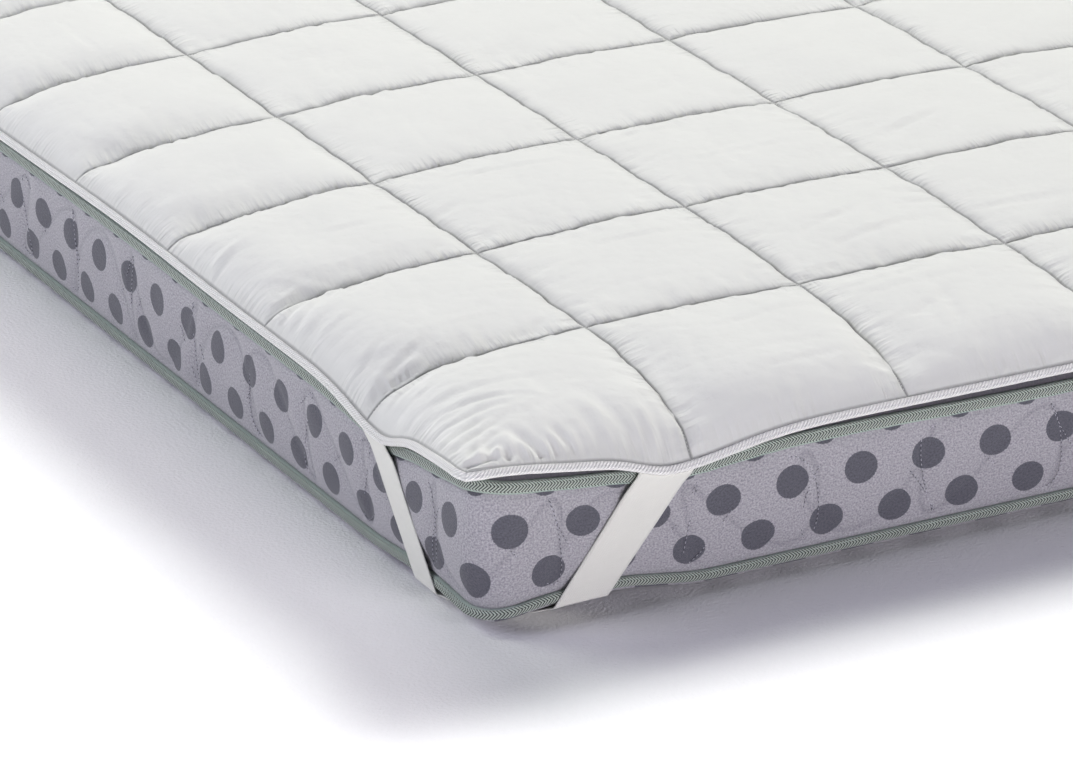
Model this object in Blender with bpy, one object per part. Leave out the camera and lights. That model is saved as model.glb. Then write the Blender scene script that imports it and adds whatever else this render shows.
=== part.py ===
"""A quilted mattress topper, held on a mattress by a wide elastic strap under each corner.

Run with:  blender --background --python part.py

Metres, +Z up. The origin is on the floor, under the middle of the mattress. X runs across
the bed and Y along it. The pieces are alike at all four corners, apart from the slow sags in
SAGS, so most places are given by their depth in from the nearest side and their way along
that side from the nearest corner.
"""

import math
from collections import namedtuple

import bmesh
import bpy
from mathutils import Vector

# The quilting, which sets the size of the bed.
CELL = 0.25
CELLS_X = 6
CELLS_Y = 8
HALF_X = CELL * CELLS_X / 2
HALF_Y = CELL * CELLS_Y / 2
STITCHED = 0.005
PUFF_UP = 0.0125
PUFF_DOWN = 0.0097
PUFF_FLAT = 3.2
PUFF_ROUND = 0.55

# Heights above the floor. The pad's crowns rest on the mattress.
BED_TOP_Z = 0.190
GAP = 0.0003
SEAM_Z = BED_TOP_Z + GAP + PUFF_DOWN + STITCHED / 2
TOP_TAPE_Z = 0.1395
LOW_TAPE_Z = 0.0110
TAPE_HIGH = 0.0140

# The mattress in plan. A neck in its side holds each tape.
FACE_IN = 0.003
BED_CORNER = 0.044
BELLY = 0.0030
NECK = 0.0045
TAPE_PROUD = 0.0028
UNDER_REACH = 0.14

# The pad's edge, which hangs over the mattress and is bound.
MOUTH_IN = 0.0015
PAD_CORNER = 0.016
HANG = 0.0355
HANG_REACH = 0.11
HANG_POWER = 3.2
CORNER_POWER = 4.0
HEM_TILT = math.radians(47)

# What the straps do to both edges: a dip where they pull, a rise at the corner between them.
DIP_AT = 0.213
DIP_NEAR = 0.050
DIP_FAR = 0.095
PAD_DIP = 0.0185
BED_DIP = 0.0095
RISE_REACH = 0.095
PAD_RISE = 0.0225
BED_RISE = 0.0135
FLARE_DIP = 0.0025
FLARE_X = 0.0190
FLARE_Y = 0.0080
FADE = 0.055

# Each strap pulls the mattress up off the floor near its corner, more on the short sides than
# on the long ones, and the corner itself droops.
LIFT = 0.0130
LIFT_LONG = 0.0065
LIFT_TURN = 0.16
LIFT_FULL = 0.14
LIFT_NONE = 0.26
DROOP = 0.0075
DROOP_REACH = 0.065

# The binding is a channel of tape: where it runs from the mouth, half its height, its wall.
BIND_START = 0.0012
BIND_END = 0.0110
BIND_HALF = 0.0029
BIND_WALL = 0.0010
BIND_NOSE = 0.0018
EDGE_HALF = 0.0015
EDGE_DEEP = BIND_END - BIND_WALL - 2 * GAP

# The straps: how far along from the corner the two sides and the middle of one leave the
# binding, on the short sides and on the long ones, and pass under the mattress. Then their gaps.
STRAP_THICK = 0.0012
STRAP_TOP = (0.176, 0.2065, 0.237)
STRAP_TOP_LONG = (0.203, 0.2290, 0.255)
STRAP_FOOT = (0.080, 0.1105, 0.141)
STRAP_FOOT_LONG = (0.098, 0.1220, 0.146)
STRAP_TUCK = (0.0026, 0.0058, 0.0090)
STRAP_BACK = 0.0041
STRAP_OUT = 0.0012
STRAP_UNDER = 0.0026
STRAP_STEPS = 6

# Lines of the pad's lattice: shares of an inner cell, and depths in the outer one.
CELL_TOP = (0.0, 0.08, 0.26, 0.5, 0.74, 0.92)
CELL_UNDER = (0.0, 0.08, 0.92)
OUTER_TOP = (MOUTH_IN, 0.008, 0.018, 0.060, 0.120, 0.170, 0.205, 0.235)
OUTER_UNDER = (MOUTH_IN, 0.018, 0.045, 0.080, 0.125, 0.235)

# Stations along each side of the mattress, from its corner, and steps round the corner.
BED_STOPS = (0.085, 0.12, 0.16, 0.20, 0.24, 0.29, 0.38, 0.52)
BED_LONG_STOPS = BED_STOPS + (0.74,)
CORNER_STEPS = 4

# Slow sags of the two upper edges, by hand: the axis that an edge crosses, its side of the
# bed, where along it the sag is deepest, how deep it is on each piece, and its reach.
Sag = namedtuple("Sag", "crosses side at pad bed reach")
SAGS = (
    Sag(crosses="y", side=-1, at=-0.07, pad=0.0010, bed=0.0060, reach=0.20),
    Sag(crosses="y", side=1, at=0.14, pad=0.0035, bed=0.0040, reach=0.20),
    Sag(crosses="x", side=-1, at=-0.14, pad=-0.0050, bed=-0.0030, reach=0.20),
    Sag(crosses="x", side=-1, at=0.38, pad=0.0040, bed=0.0045, reach=0.18),
    Sag(crosses="x", side=1, at=-0.30, pad=0.0030, bed=0.0035, reach=0.22),
    Sag(crosses="x", side=1, at=0.25, pad=-0.0035, bed=0.0020, reach=0.20),
)

# Rings of the mattress from its top to its underside: depth in from the face, the datum that
# z counts from, and how much of the edge's dip and rise the ring takes.
Ring = namedtuple("Ring", "depth datum z edge")
RINGS = (
    Ring(depth=0.120, datum="bed", z=0.0, edge=0.0),
    Ring(depth=0.070, datum="bed", z=-0.0030, edge=0.10),
    Ring(depth=0.034, datum="bed", z=-0.0115, edge=0.35),
    Ring(depth=0.012, datum="bed", z=-0.0250, edge=0.80),
    Ring(depth=NECK, datum="top", z=TAPE_HIGH, edge=1.0),
    Ring(depth=NECK, datum="top", z=0.0, edge=1.0),
    Ring(depth=0.0, datum="top", z=-0.0100, edge=1.0),
    Ring(depth=-BELLY, datum="middle", z=0.0, edge=0.5),
    Ring(depth=0.0, datum="low", z=TAPE_HIGH + 0.0100, edge=1.0),
    Ring(depth=NECK, datum="low", z=TAPE_HIGH, edge=1.0),
    Ring(depth=NECK, datum="low", z=0.0, edge=1.0),
    Ring(depth=0.022, datum="under", z=0.0, edge=1.0),
    Ring(depth=0.060, datum="under", z=0.0, edge=1.0),
    Ring(depth=UNDER_REACH, datum="under", z=0.0, edge=1.0),
)

Finish = namedtuple("Finish", "colour roughness")
FINISHES = {
    "quilt_cotton": Finish(colour=(0.86, 0.87, 0.85), roughness=0.85),
    "binding_tape": Finish(colour=(0.90, 0.90, 0.87), roughness=0.80),
    "strap_elastic": Finish(colour=(0.84, 0.84, 0.81), roughness=0.75),
    "bed_knit": Finish(colour=(0.42, 0.42, 0.47), roughness=0.90),
    "bed_tape": Finish(colour=(0.33, 0.38, 0.35), roughness=0.85),
}

# The pad's edge at one place: its mouth, the way down along the cloth, and the cloth's normal.
Hem = namedtuple("Hem", "mouth along normal")


def smooth(share):
    """0 below 0, 1 above 1, and an even curve between."""
    share = min(max(share, 0.0), 1.0)
    return share * share * (3 - 2 * share)


def bell(way, middle, reach):
    """1 at middle, falling away on both sides."""
    return math.exp(-(((way - middle) / reach) ** 2))


def dip(along):
    """How much a strap pulls on the edge here, 0 to 1."""
    return bell(along, DIP_AT, DIP_NEAR if along < DIP_AT else DIP_FAR)


def rise(along):
    """How much the edge stands up at the corner, 0 to 1."""
    return bell(along, 0.0, RISE_REACH)


def depths(x, y, inset=0.0):
    """Depth in from the nearest side along X and along Y, counted from inset."""
    return HALF_X - inset - abs(x), HALF_Y - inset - abs(y)


def sag(x, y, piece):
    """The slow unevenness of an upper edge near (x, y). piece is "pad" or "bed"."""
    across, down = depths(x, y)
    total = 0.0
    for row in SAGS:
        on_x = row.crosses == "x"
        if (x if on_x else y) * row.side > 0:
            near = bell(across if on_x else down, 0.0, FADE)
            total += getattr(row, piece) * near * bell(y if on_x else x, row.at, row.reach)
    return total


def pad_hang(x, y):
    """How far the pad's stitched surface hangs below the level of its middle."""
    across, down = depths(x, y, MOUTH_IN)
    along = max(across, down)
    most = HANG + PAD_DIP * dip(along) - PAD_RISE * rise(along) + sag(x, y, "pad")
    falls = []
    for depth in (across, down):
        share = min(max(1 - depth / HANG_REACH, 0.0), 1.0)
        falls.append(most * share**HANG_POWER)
    return sum(fall**CORNER_POWER for fall in falls) ** (1 / CORNER_POWER)


def puff(x, y):
    """The quilting's crown: 0 on every seam and on the mouth, 1 in the middle of a cell."""
    crown = 1.0
    for way, half in ((x, HALF_X), (y, HALF_Y)):
        share = (way + half) / CELL % 1.0
        if abs(way) > half - CELL:
            share = (half - MOUTH_IN - abs(way)) / (CELL - MOUTH_IN)
        off_middle = min(abs(2 * share - 1), 1.0)
        crown *= (1 - off_middle**PUFF_FLAT) ** PUFF_ROUND
    return crown


def in_plan(x, y):
    """Where a place of the flat pad lies in plan, with its round corners and flared edge."""
    across, down = depths(x, y, MOUTH_IN)
    side_x, side_y = math.copysign(1, x), math.copysign(1, y)
    if across < PAD_CORNER and down < PAD_CORNER:
        out_x, out_y = PAD_CORNER - across, PAD_CORNER - down
        pull = max(out_x, out_y) / math.hypot(out_x, out_y)
        x += side_x * out_x * (pull - 1)
        y += side_y * out_y * (pull - 1)
    pulled, corner = dip(max(across, down)), rise(max(across, down))
    x += side_x * (FLARE_DIP * pulled + FLARE_X * corner) * bell(across, 0.0, FADE)
    y += side_y * (FLARE_DIP * pulled + FLARE_Y * corner) * bell(down, 0.0, FADE)
    return x, y


def pad_top(x, y):
    """A place on the topper's upper face."""
    inside = smooth(min(depths(x, y, MOUTH_IN)) / HANG_REACH)
    half = EDGE_HALF + (STITCHED / 2 - EDGE_HALF) * inside
    return Vector((*in_plan(x, y), SEAM_Z - pad_hang(x, y) + half + PUFF_UP * puff(x, y)))


def pad_under(x, y):
    """A place on the topper's underside, whose crowns fade out towards the hanging edge."""
    inside = smooth(min(depths(x, y, MOUTH_IN)) / HANG_REACH)
    half = EDGE_HALF + (STITCHED / 2 - EDGE_HALF) * inside
    down = PUFF_DOWN * inside * smooth(3 * puff(x, y))
    return Vector((*in_plan(x, y), SEAM_Z - pad_hang(x, y) - half - down))


def hem_at(x, y):
    """The pad's edge at a place on its mouth."""
    across, down = depths(x, y, MOUTH_IN)
    if across < PAD_CORNER and down < PAD_CORNER:
        out = Vector((PAD_CORNER - across, PAD_CORNER - down, 0.0)).normalized()
    else:
        out = Vector((across < down, across >= down, 0.0))
    out.x = math.copysign(out.x, x)
    out.y = math.copysign(out.y, y)
    up = Vector((0.0, 0.0, 1.0))
    return Hem(
        mouth=Vector((*in_plan(x, y), SEAM_Z - pad_hang(x, y))),
        along=out * math.cos(HEM_TILT) - up * math.sin(HEM_TILT),
        normal=out * math.sin(HEM_TILT) + up * math.cos(HEM_TILT),
    )


def on_hem(hem, along, normal):
    """A place beside an edge: so far along the cloth past its mouth, so far out from it."""
    return hem.mouth + hem.along * along + hem.normal * normal


def low_lift(across, down):
    """How far the mattress's lower edge is pulled up, for depths in from two faces."""
    along = max(across, down)
    most = LIFT + (LIFT_LONG - LIFT) * smooth(0.5 + (down - across) / LIFT_TURN)
    lift = most * (1 - smooth((along - LIFT_FULL) / (LIFT_NONE - LIFT_FULL)))
    return lift - DROOP * bell(along, 0.0, DROOP_REACH)


def underside(across, down):
    """Height of the mattress's underside, for depths in from two faces."""
    depth = min(max(min(across, down), 0.0), UNDER_REACH)
    return (LOW_TAPE_Z + low_lift(across, down)) * (1 - depth / UNDER_REACH) ** 2


def bed_height(ring, x, y):
    """Height of a ring of the mattress at (x, y)."""
    across, down = depths(x, y, FACE_IN)
    along = max(across, down)
    upper = BED_RISE * rise(along) - BED_DIP * dip(along) - sag(x, y, "bed")
    lower = low_lift(across, down)
    heights = {
        "bed": BED_TOP_Z + upper * ring.edge,
        "top": TOP_TAPE_Z + upper,
        "middle": (TOP_TAPE_Z + LOW_TAPE_Z + TAPE_HIGH + upper + lower) / 2,
        "low": LOW_TAPE_Z + lower,
        "under": underside(across, down),
    }
    return heights[ring.datum] + ring.z


def bed_outline(depth):
    """The mattress's outline at a depth in from its face, anticlockwise from its +X side."""
    radius = max(BED_CORNER - depth, BED_CORNER / 3)
    outline = []
    for turn in range(4):
        angle = turn * math.pi / 2
        out = Vector((math.cos(angle), math.sin(angle)))
        way = Vector((-out.y, out.x))
        facing_x = turn % 2 == 0
        reach, run = (HALF_X, HALF_Y) if facing_x else (HALF_Y, HALF_X)
        stops = BED_LONG_STOPS if facing_x else BED_STOPS
        shares = [(run - stop) / (run - BED_CORNER) for stop in stops]
        reach -= FACE_IN + depth
        straight = run - FACE_IN - depth - radius
        for share in [-share for share in shares] + [0.0] + shares[::-1]:
            outline.append(out * reach + way * share * straight)
        for step in range(CORNER_STEPS + 1):
            bend = math.pi / 2 * step / CORNER_STEPS
            arm = out * math.cos(bend) + way * math.sin(bend)
            outline.append(out * (reach - radius) + way * straight + arm * radius)
    return outline


def lattice(bm, columns, rows, place):
    """A sheet of columns by rows faces, each of its points put where place(column, row) says."""
    made = bmesh.ops.create_grid(bm, x_segments=columns, y_segments=rows, size=1.0)["verts"]
    for vert in made:
        column = round((vert.co.x + 1) / 2 * columns)
        row = round((vert.co.y + 1) / 2 * rows)
        vert.co = place(column, row)
    return made


def weld(bm):
    """Joins points that were put in one place."""
    bmesh.ops.remove_doubles(bm, verts=bm.verts, dist=1e-6)


def open_edges(verts):
    """The boundary edges of the sheets that have these points."""
    return list({edge for vert in verts for edge in vert.link_edges if edge.is_boundary})


def add_object(name, bm, finish):
    """Makes one object, one sub-part, from a mesh in its final place."""
    bmesh.ops.recalc_face_normals(bm, faces=bm.faces)
    mesh = bpy.data.meshes.new(name)
    bm.to_mesh(mesh)
    bm.free()
    mesh.shade_smooth()
    mesh.set_sharp_from_angle(angle=math.radians(50))
    mesh.materials.append(finish)
    obj = bpy.data.objects.new(name, mesh)
    bpy.context.scene.collection.objects.link(obj)
    return obj


def pad_lines(half, cells, outer, inner):
    """The lattice's lines along one axis, from one mouth of the pad to the other."""
    edge = [half - depth for depth in outer]
    middle = [-half + (cell + share) * CELL for cell in range(1, cells - 1) for share in inner]
    return [-way for way in edge] + middle + [half - CELL] + edge[::-1]


def hems_all_round(lines_x, lines_y):
    """The pad's edge at every line, anticlockwise from the corner at -X, -Y."""
    low_x, high_x, low_y, high_y = lines_x[0], lines_x[-1], lines_y[0], lines_y[-1]
    places = [(x, low_y) for x in lines_x[:-1]]
    places += [(high_x, y) for y in lines_y[:-1]]
    places += [(x, high_y) for x in lines_x[:0:-1]]
    places += [(low_x, y) for y in lines_y[:0:-1]]
    return [hem_at(x, y) for x, y in places]


def cut_outer_edges(bm, lines, axis):
    """Adds a point to a flat sheet's outer edges at each line that they run across."""
    for edge in open_edges(bm.verts):
        low, high = sorted(edge.verts, key=lambda vert: vert.co[axis])
        for way in lines:
            start, end = low.co[axis], high.co[axis]
            if start + 1e-6 < way < end - 1e-6:
                edge = bm.edges.get((low, high))
                _, low = bmesh.utils.edge_split(edge, low, (way - start) / (end - start))


def snap_to_hems(verts, hems, normal):
    """Moves a sheet's outer points onto the mouth of the bound edge."""
    mouths = [on_hem(hem, 0.0, normal) for hem in hems]
    for vert in {vert for edge in open_edges(verts) for vert in edge.verts}:
        vert.co = min(mouths, key=lambda mouth: (mouth.xy - vert.co.xy).length)


def add_pad(lines_x, lines_y, hems, finish):
    """The topper: one filled body, quilted on both faces and thin where its edge is bound."""
    rim = ((0.0, EDGE_HALF), (EDGE_DEEP, EDGE_HALF), (EDGE_DEEP, -EDGE_HALF), (0.0, -EDGE_HALF))
    under_x = pad_lines(HALF_X, CELLS_X, OUTER_UNDER, CELL_UNDER)
    under_y = pad_lines(HALF_Y, CELLS_Y, OUTER_UNDER, CELL_UNDER)
    bm = bmesh.new()
    lattice(
        bm,
        len(under_x) - 1,
        len(under_y) - 1,
        lambda column, row: Vector((under_x[column], under_y[row], 0.0)),
    )
    cut_outer_edges(bm, lines_x, 0)
    cut_outer_edges(bm, lines_y, 1)
    under = list(bm.verts)
    for vert in under:
        vert.co = pad_under(vert.co.x, vert.co.y)
    upper = lattice(
        bm,
        len(lines_x) - 1,
        len(lines_y) - 1,
        lambda column, row: pad_top(lines_x[column], lines_y[row]),
    )
    snap_to_hems(under, hems, -EDGE_HALF)
    snap_to_hems(upper, hems, EDGE_HALF)
    lattice(
        bm,
        len(hems),
        len(rim) - 1,
        lambda column, row: on_hem(hems[column % len(hems)], *rim[row]),
    )
    weld(bm)
    return add_object("topper_pad", bm, finish)


def add_binding(hems, finish):
    """The tape folded over the pad's edge: a channel that runs all round."""
    nose, half = BIND_END - BIND_NOSE, BIND_HALF - BIND_NOSE
    back, inner = BIND_END - BIND_WALL, BIND_HALF - BIND_WALL
    section = (
        (BIND_START, BIND_HALF),
        (nose, BIND_HALF),
        (BIND_END, half),
        (BIND_END, -half),
        (nose, -BIND_HALF),
        (BIND_START, -BIND_HALF),
        (BIND_START, -inner),
        (back, -inner),
        (back, inner),
        (BIND_START, inner),
    )
    bm = bmesh.new()
    lattice(
        bm,
        len(hems),
        len(section),
        lambda column, row: on_hem(hems[column % len(hems)], *section[row % len(section)]),
    )
    weld(bm)
    return add_object("edge_binding", bm, finish)


def add_mattress(finish):
    """The mattress: one filled body with a crowned top, full sides and a flat underside."""
    outlines = [bed_outline(ring.depth) for ring in RINGS]
    around = len(outlines[0])

    def place(column, row):
        point = outlines[row][column % around]
        return Vector((*point, bed_height(RINGS[row], *point)))

    bm = bmesh.new()
    lattice(bm, around, len(RINGS) - 1, place)
    weld(bm)
    bmesh.ops.holes_fill(bm, edges=open_edges(bm.verts), sides=0)
    return add_object("mattress_body", bm, finish)


def add_tape(name, datum, finish):
    """A woven tape sewn round one edge of the mattress, in its neck."""
    low, high, slope = GAP, TAPE_HIGH - GAP, 0.0032
    back, shoulder = NECK - GAP, 0.0008
    section = (
        Ring(depth=back, datum=datum, z=low, edge=1.0),
        Ring(depth=shoulder, datum=datum, z=low, edge=1.0),
        Ring(depth=-TAPE_PROUD, datum=datum, z=low + slope, edge=1.0),
        Ring(depth=-TAPE_PROUD, datum=datum, z=high - slope, edge=1.0),
        Ring(depth=shoulder, datum=datum, z=high, edge=1.0),
        Ring(depth=back, datum=datum, z=high, edge=1.0),
    )
    outlines = [bed_outline(ring.depth) for ring in section]
    around = len(outlines[0])

    def place(column, row):
        row %= len(section)
        point = outlines[row][column % around]
        return Vector((*point, bed_height(section[row], *point)))

    bm = bmesh.new()
    lattice(bm, around, len(section), place)
    weld(bm)
    return add_object(name, bm, finish)


def strap_side(top, foot, low):
    """One line of a strap down the mattress's side, from behind the binding to its foot.

    top and foot are how far along from the corner it starts and ends, and low is the height
    of the mattress's edge there. Each place that it gives is (way along from the corner,
    depth in from the side, height).
    """
    hem = hem_at(-HALF_X + top, -HALF_Y + MOUTH_IN)
    places = []
    for tucked in STRAP_TUCK:
        point = on_hem(hem, tucked, -STRAP_BACK)
        places.append(Vector((top, point.y + HALF_Y, point.z)))
    start = TOP_TAPE_Z - BED_DIP
    tucked = places[-1].z
    for height in (start - 0.004, start - 0.040, start - 0.075, low + 0.016, low + 0.004):
        share = (tucked - height) / (tucked - low)
        places.append(Vector((top + (foot - top) * share, -STRAP_OUT, height)))
    places.append(Vector((foot, 0.0006 - STRAP_OUT, low - 0.0002)))
    places.append(Vector((foot, 0.0026 - STRAP_OUT, low - 0.0014)))
    return places


def strap_line(line):
    """One line along a whole strap: (depth along X, depth along Y, height) at each place."""
    foot, far_foot = STRAP_FOOT[line], STRAP_FOOT_LONG[line]
    first = strap_side(STRAP_TOP[line], foot, LOW_TAPE_Z + low_lift(foot, 0.0))
    last = strap_side(STRAP_TOP_LONG[line], far_foot, LOW_TAPE_Z + low_lift(0.0, far_foot))
    last = [Vector((place.y, place.x, place.z)) for place in last[::-1]]
    middle = []
    for step in range(1, STRAP_STEPS):
        place = first[-1].lerp(last[0], step / STRAP_STEPS)
        place.z = underside(place.x - FACE_IN, place.y - FACE_IN) - STRAP_UNDER
        middle.append(place)
    return first + middle + last


def add_strap(name, side_x, side_y, finish):
    """An elastic strap: down both sides of a corner and slanting across beneath it."""
    lines = [strap_line(line) for line in range(len(STRAP_TOP))]

    def place(column, row):
        depth = lines[column][row]
        return Vector((side_x * (HALF_X - depth.x), side_y * (HALF_Y - depth.y), depth.z))

    bm = bmesh.new()
    lattice(bm, len(lines) - 1, len(lines[0]) - 1, place)
    strap = add_object(name, bm, finish)
    thickness = strap.modifiers.new("thickness", "SOLIDIFY")
    thickness.thickness = STRAP_THICK
    thickness.offset = 0.0
    thickness.use_even_offset = True
    return strap


def make_finish(name):
    """The plain material of one kind of cloth."""
    finish = FINISHES[name]
    material = bpy.data.materials.new(name)
    material.use_nodes = True
    shader = material.node_tree.nodes["Principled BSDF"]
    shader.inputs["Base Color"].default_value = (*finish.colour, 1.0)
    shader.inputs["Roughness"].default_value = finish.roughness
    shader.inputs["Metallic"].default_value = 0.0
    return material


def main():
    for old in list(bpy.data.objects):
        bpy.data.objects.remove(old)
    finishes = {name: make_finish(name) for name in FINISHES}
    lines_x = pad_lines(HALF_X, CELLS_X, OUTER_TOP, CELL_TOP)
    lines_y = pad_lines(HALF_Y, CELLS_Y, OUTER_TOP, CELL_TOP)
    hems = hems_all_round(lines_x, lines_y)
    add_pad(lines_x, lines_y, hems, finishes["quilt_cotton"])
    add_binding(hems, finishes["binding_tape"])
    add_mattress(finishes["bed_knit"])
    add_tape("mattress_tape_top", "top", finishes["bed_tape"])
    add_tape("mattress_tape_low", "low", finishes["bed_tape"])
    for side_y, end in ((-1, "front"), (1, "back")):
        for side_x, hand in ((-1, "left"), (1, "right")):
            add_strap(f"strap_{end}_{hand}", side_x, side_y, finishes["strap_elastic"])


main()
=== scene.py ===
"""The looks of a quilted mattress topper, strapped over the corners of a mattress.

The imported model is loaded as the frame. Every soft solid in it is stood for by a finer piece
here, which repeats the solid's own sizes and adds its wrinkles, ribs, stitches and weave.
Metres, +Z up, X across the bed and Y along it, with the origin on the floor under its middle.
"""

import logging
import math
from dataclasses import dataclass, field
from enum import Enum
from typing import Callable, Sequence

import bmesh
import bpy
import numpy as np
from mathutils import Matrix, Vector


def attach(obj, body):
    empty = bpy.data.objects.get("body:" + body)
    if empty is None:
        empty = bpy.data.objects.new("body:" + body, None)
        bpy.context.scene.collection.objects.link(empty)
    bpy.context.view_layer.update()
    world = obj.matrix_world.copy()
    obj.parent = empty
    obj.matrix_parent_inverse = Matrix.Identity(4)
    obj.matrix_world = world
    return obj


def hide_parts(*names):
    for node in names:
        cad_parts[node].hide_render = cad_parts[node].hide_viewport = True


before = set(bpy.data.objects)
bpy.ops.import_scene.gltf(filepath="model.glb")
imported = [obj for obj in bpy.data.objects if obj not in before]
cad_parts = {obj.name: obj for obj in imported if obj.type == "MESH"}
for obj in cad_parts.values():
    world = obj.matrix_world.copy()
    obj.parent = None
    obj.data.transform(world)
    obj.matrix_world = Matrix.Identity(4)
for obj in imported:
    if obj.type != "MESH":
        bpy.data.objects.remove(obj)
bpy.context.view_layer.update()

BODY = "root"
TAU = 2 * math.pi
Array = np.ndarray
Pair = tuple[Array, Array]
Verts = list[bmesh.types.BMVert]
Colour = tuple[float, float, float, float]
Piece = bpy.types.Object
Material = bpy.types.Material
Tree = bpy.types.NodeTree
Node = bpy.types.Node
Socket = bpy.types.NodeSocket
log = logging.getLogger("topper")


def smooth(share: Array) -> Array:
    """0 below 0, 1 above 1, and an even curve between."""
    share = np.clip(share, 0.0, 1.0)
    return share * share * (3 - 2 * share)


def bell(way: Array, middle: float, reach: Array) -> Array:
    """1 at middle, falling away on both sides."""
    return np.exp(-(((way - middle) / reach) ** 2))


def scatter(lane: Array, seed: float) -> Array:
    """A number from 0 to 1 for each lane, always the same for the same seed."""
    mixed = np.sin(np.asarray(lane, float) * 12.9898 + seed * 78.233) * 43758.5453
    return mixed - np.floor(mixed)


def ripple(way: Array, lane: Array, length: float, seed: float) -> Array:
    """Uneven waves.

    Args:
        way: Where along the waves' own line each point lies.
        lane: A number for each point. Points with another number get other waves.
        length: The waves' usual length, in metres.
        seed: Tells one set of waves from another.

    Returns:
        Heights of about -1 to 1.
    """
    total = np.zeros(np.broadcast(way, lane).shape)
    for step, (share, weight) in enumerate(((1.0, 0.5), (0.63, 0.36), (1.71, 0.44))):
        phase = TAU * scatter(lane, seed + 0.37 * step)
        total = total + weight * np.sin(TAU * way / (length * share) + phase)
    return total


def swell(x: Array, y: Array, length: float, seed: float) -> Array:
    """Soft uneven ground over a plane, of about -1 to 1, with hills about length apart."""
    total = np.zeros(np.broadcast(x, y).shape)
    for step in range(6):
        turn = TAU * scatter(step, seed)
        stretch = length * (0.7 + 0.8 * scatter(step, seed + 1.3))
        way = x * np.cos(turn) + y * np.sin(turn)
        total = total + 0.4 * np.sin(TAU * way / stretch + TAU * scatter(step, seed + 2.7))
    return total


def unit(vectors: Array) -> Array:
    """The same directions, each of length 1."""
    return vectors / np.maximum(np.linalg.norm(vectors, axis=-1, keepdims=True), 1e-12)


def run_length(points: Array) -> Array:
    """How far along a line of points each one lies."""
    steps = np.linalg.norm(np.diff(points, axis=0), axis=1)
    return np.concatenate([[0.0], np.cumsum(steps)])


def inside_ends(way: Array, reach: float) -> Array:
    """0 at both ends of a way that starts at 0, and 1 from reach on."""
    return smooth(way / reach) * smooth((way[-1] - way) / reach)


def flat_grid(first: Array, second: Array) -> Array:
    """The pairs of two rows of measures, as first by second by two."""
    return np.stack(np.meshgrid(first, second, indexing="ij"), axis=-1)


def put_in_scene(name: str, data: bpy.types.ID) -> Piece:
    """Makes an object of a mesh, a light or a camera, and links it to the scene."""
    thing = bpy.data.objects.new(name, data)
    bpy.context.scene.collection.objects.link(thing)
    return thing


@dataclass(frozen=True)
class Sag:
    """A slow sag of an upper edge: which edge, where it is deepest, how deep and how long."""

    crosses: str
    side: int
    at: float
    pad: float
    bed: float
    reach: float


SAGS = (
    Sag("y", -1, -0.07, pad=0.0010, bed=0.0060, reach=0.20),
    Sag("y", 1, 0.14, pad=0.0035, bed=0.0040, reach=0.20),
    Sag("x", -1, -0.14, pad=-0.0050, bed=-0.0030, reach=0.20),
    Sag("x", -1, 0.38, pad=0.0040, bed=0.0045, reach=0.18),
    Sag("x", 1, -0.30, pad=0.0030, bed=0.0035, reach=0.22),
    Sag("x", 1, 0.25, pad=-0.0035, bed=0.0020, reach=0.20),
)


@dataclass(frozen=True)
class Hem:
    """Places along the pad's edge: the mouth, the way down the cloth, and its normal."""

    mouth: Array
    along: Array
    normal: Array

    def place(self, along: Array, normal: Array) -> Array:
        """Points so far along the cloth past the mouth, and so far out from it."""
        along, normal = np.asarray(along)[..., None], np.asarray(normal)[..., None]
        return self.mouth + self.along * along + self.normal * normal


@dataclass(frozen=True)
class Plan:
    """The sizes that the pad and the mattress share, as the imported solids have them."""

    cell: float = 0.25
    cells_x: int = 6
    cells_y: int = 8
    bed_top: float = 0.190
    gap: float = 0.0003
    fade: float = 0.055
    dip_at: float = 0.213
    dip_near: float = 0.050
    dip_far: float = 0.095
    rise_reach: float = 0.095

    @property
    def half_x(self) -> float:
        """Half the bed's width."""
        return self.cell * self.cells_x / 2

    @property
    def half_y(self) -> float:
        """Half the bed's length."""
        return self.cell * self.cells_y / 2

    def dip(self, along: Array) -> Array:
        """How much a strap pulls on the edge, 0 to 1, this far along from a corner."""
        reach = np.where(along < self.dip_at, self.dip_near, self.dip_far)
        return bell(along, self.dip_at, reach)

    def rise(self, along: Array) -> Array:
        """How much the edge stands up, 0 to 1, this far along from a corner."""
        return bell(along, 0.0, self.rise_reach)

    def axes(self, x: Array, y: Array) -> tuple[tuple[Array, float], ...]:
        """Each axis's places, with half the bed's reach along it."""
        return (x, self.half_x), (y, self.half_y)

    def nearest_seam(self, way: Array, half: float) -> tuple[Array, Array, Array]:
        """The nearest seam's number, how far past it, and whether it lies inside the rim."""
        near = np.round(way / self.cell)
        return near, way - near * self.cell, np.abs(near) * self.cell < half - 1e-6

    def depths(self, x: Array, y: Array, inset: float = 0.0) -> Pair:
        """Depths in from the nearest side along X and along Y, counted from inset."""
        return self.half_x - inset - np.abs(x), self.half_y - inset - np.abs(y)

    def sag(self, x: Array, y: Array, piece: str) -> Array:
        """The slow unevenness of the upper edge of the "pad" or the "bed"."""
        across, down = self.depths(x, y)
        total = np.zeros(np.broadcast(x, y).shape)
        for row in SAGS:
            way, along, depth = (x, y, across) if row.crosses == "x" else (y, x, down)
            there = getattr(row, piece) * bell(depth, 0.0, self.fade)
            total = total + (way * row.side > 0) * there * bell(along, row.at, row.reach)
        return total


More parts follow.
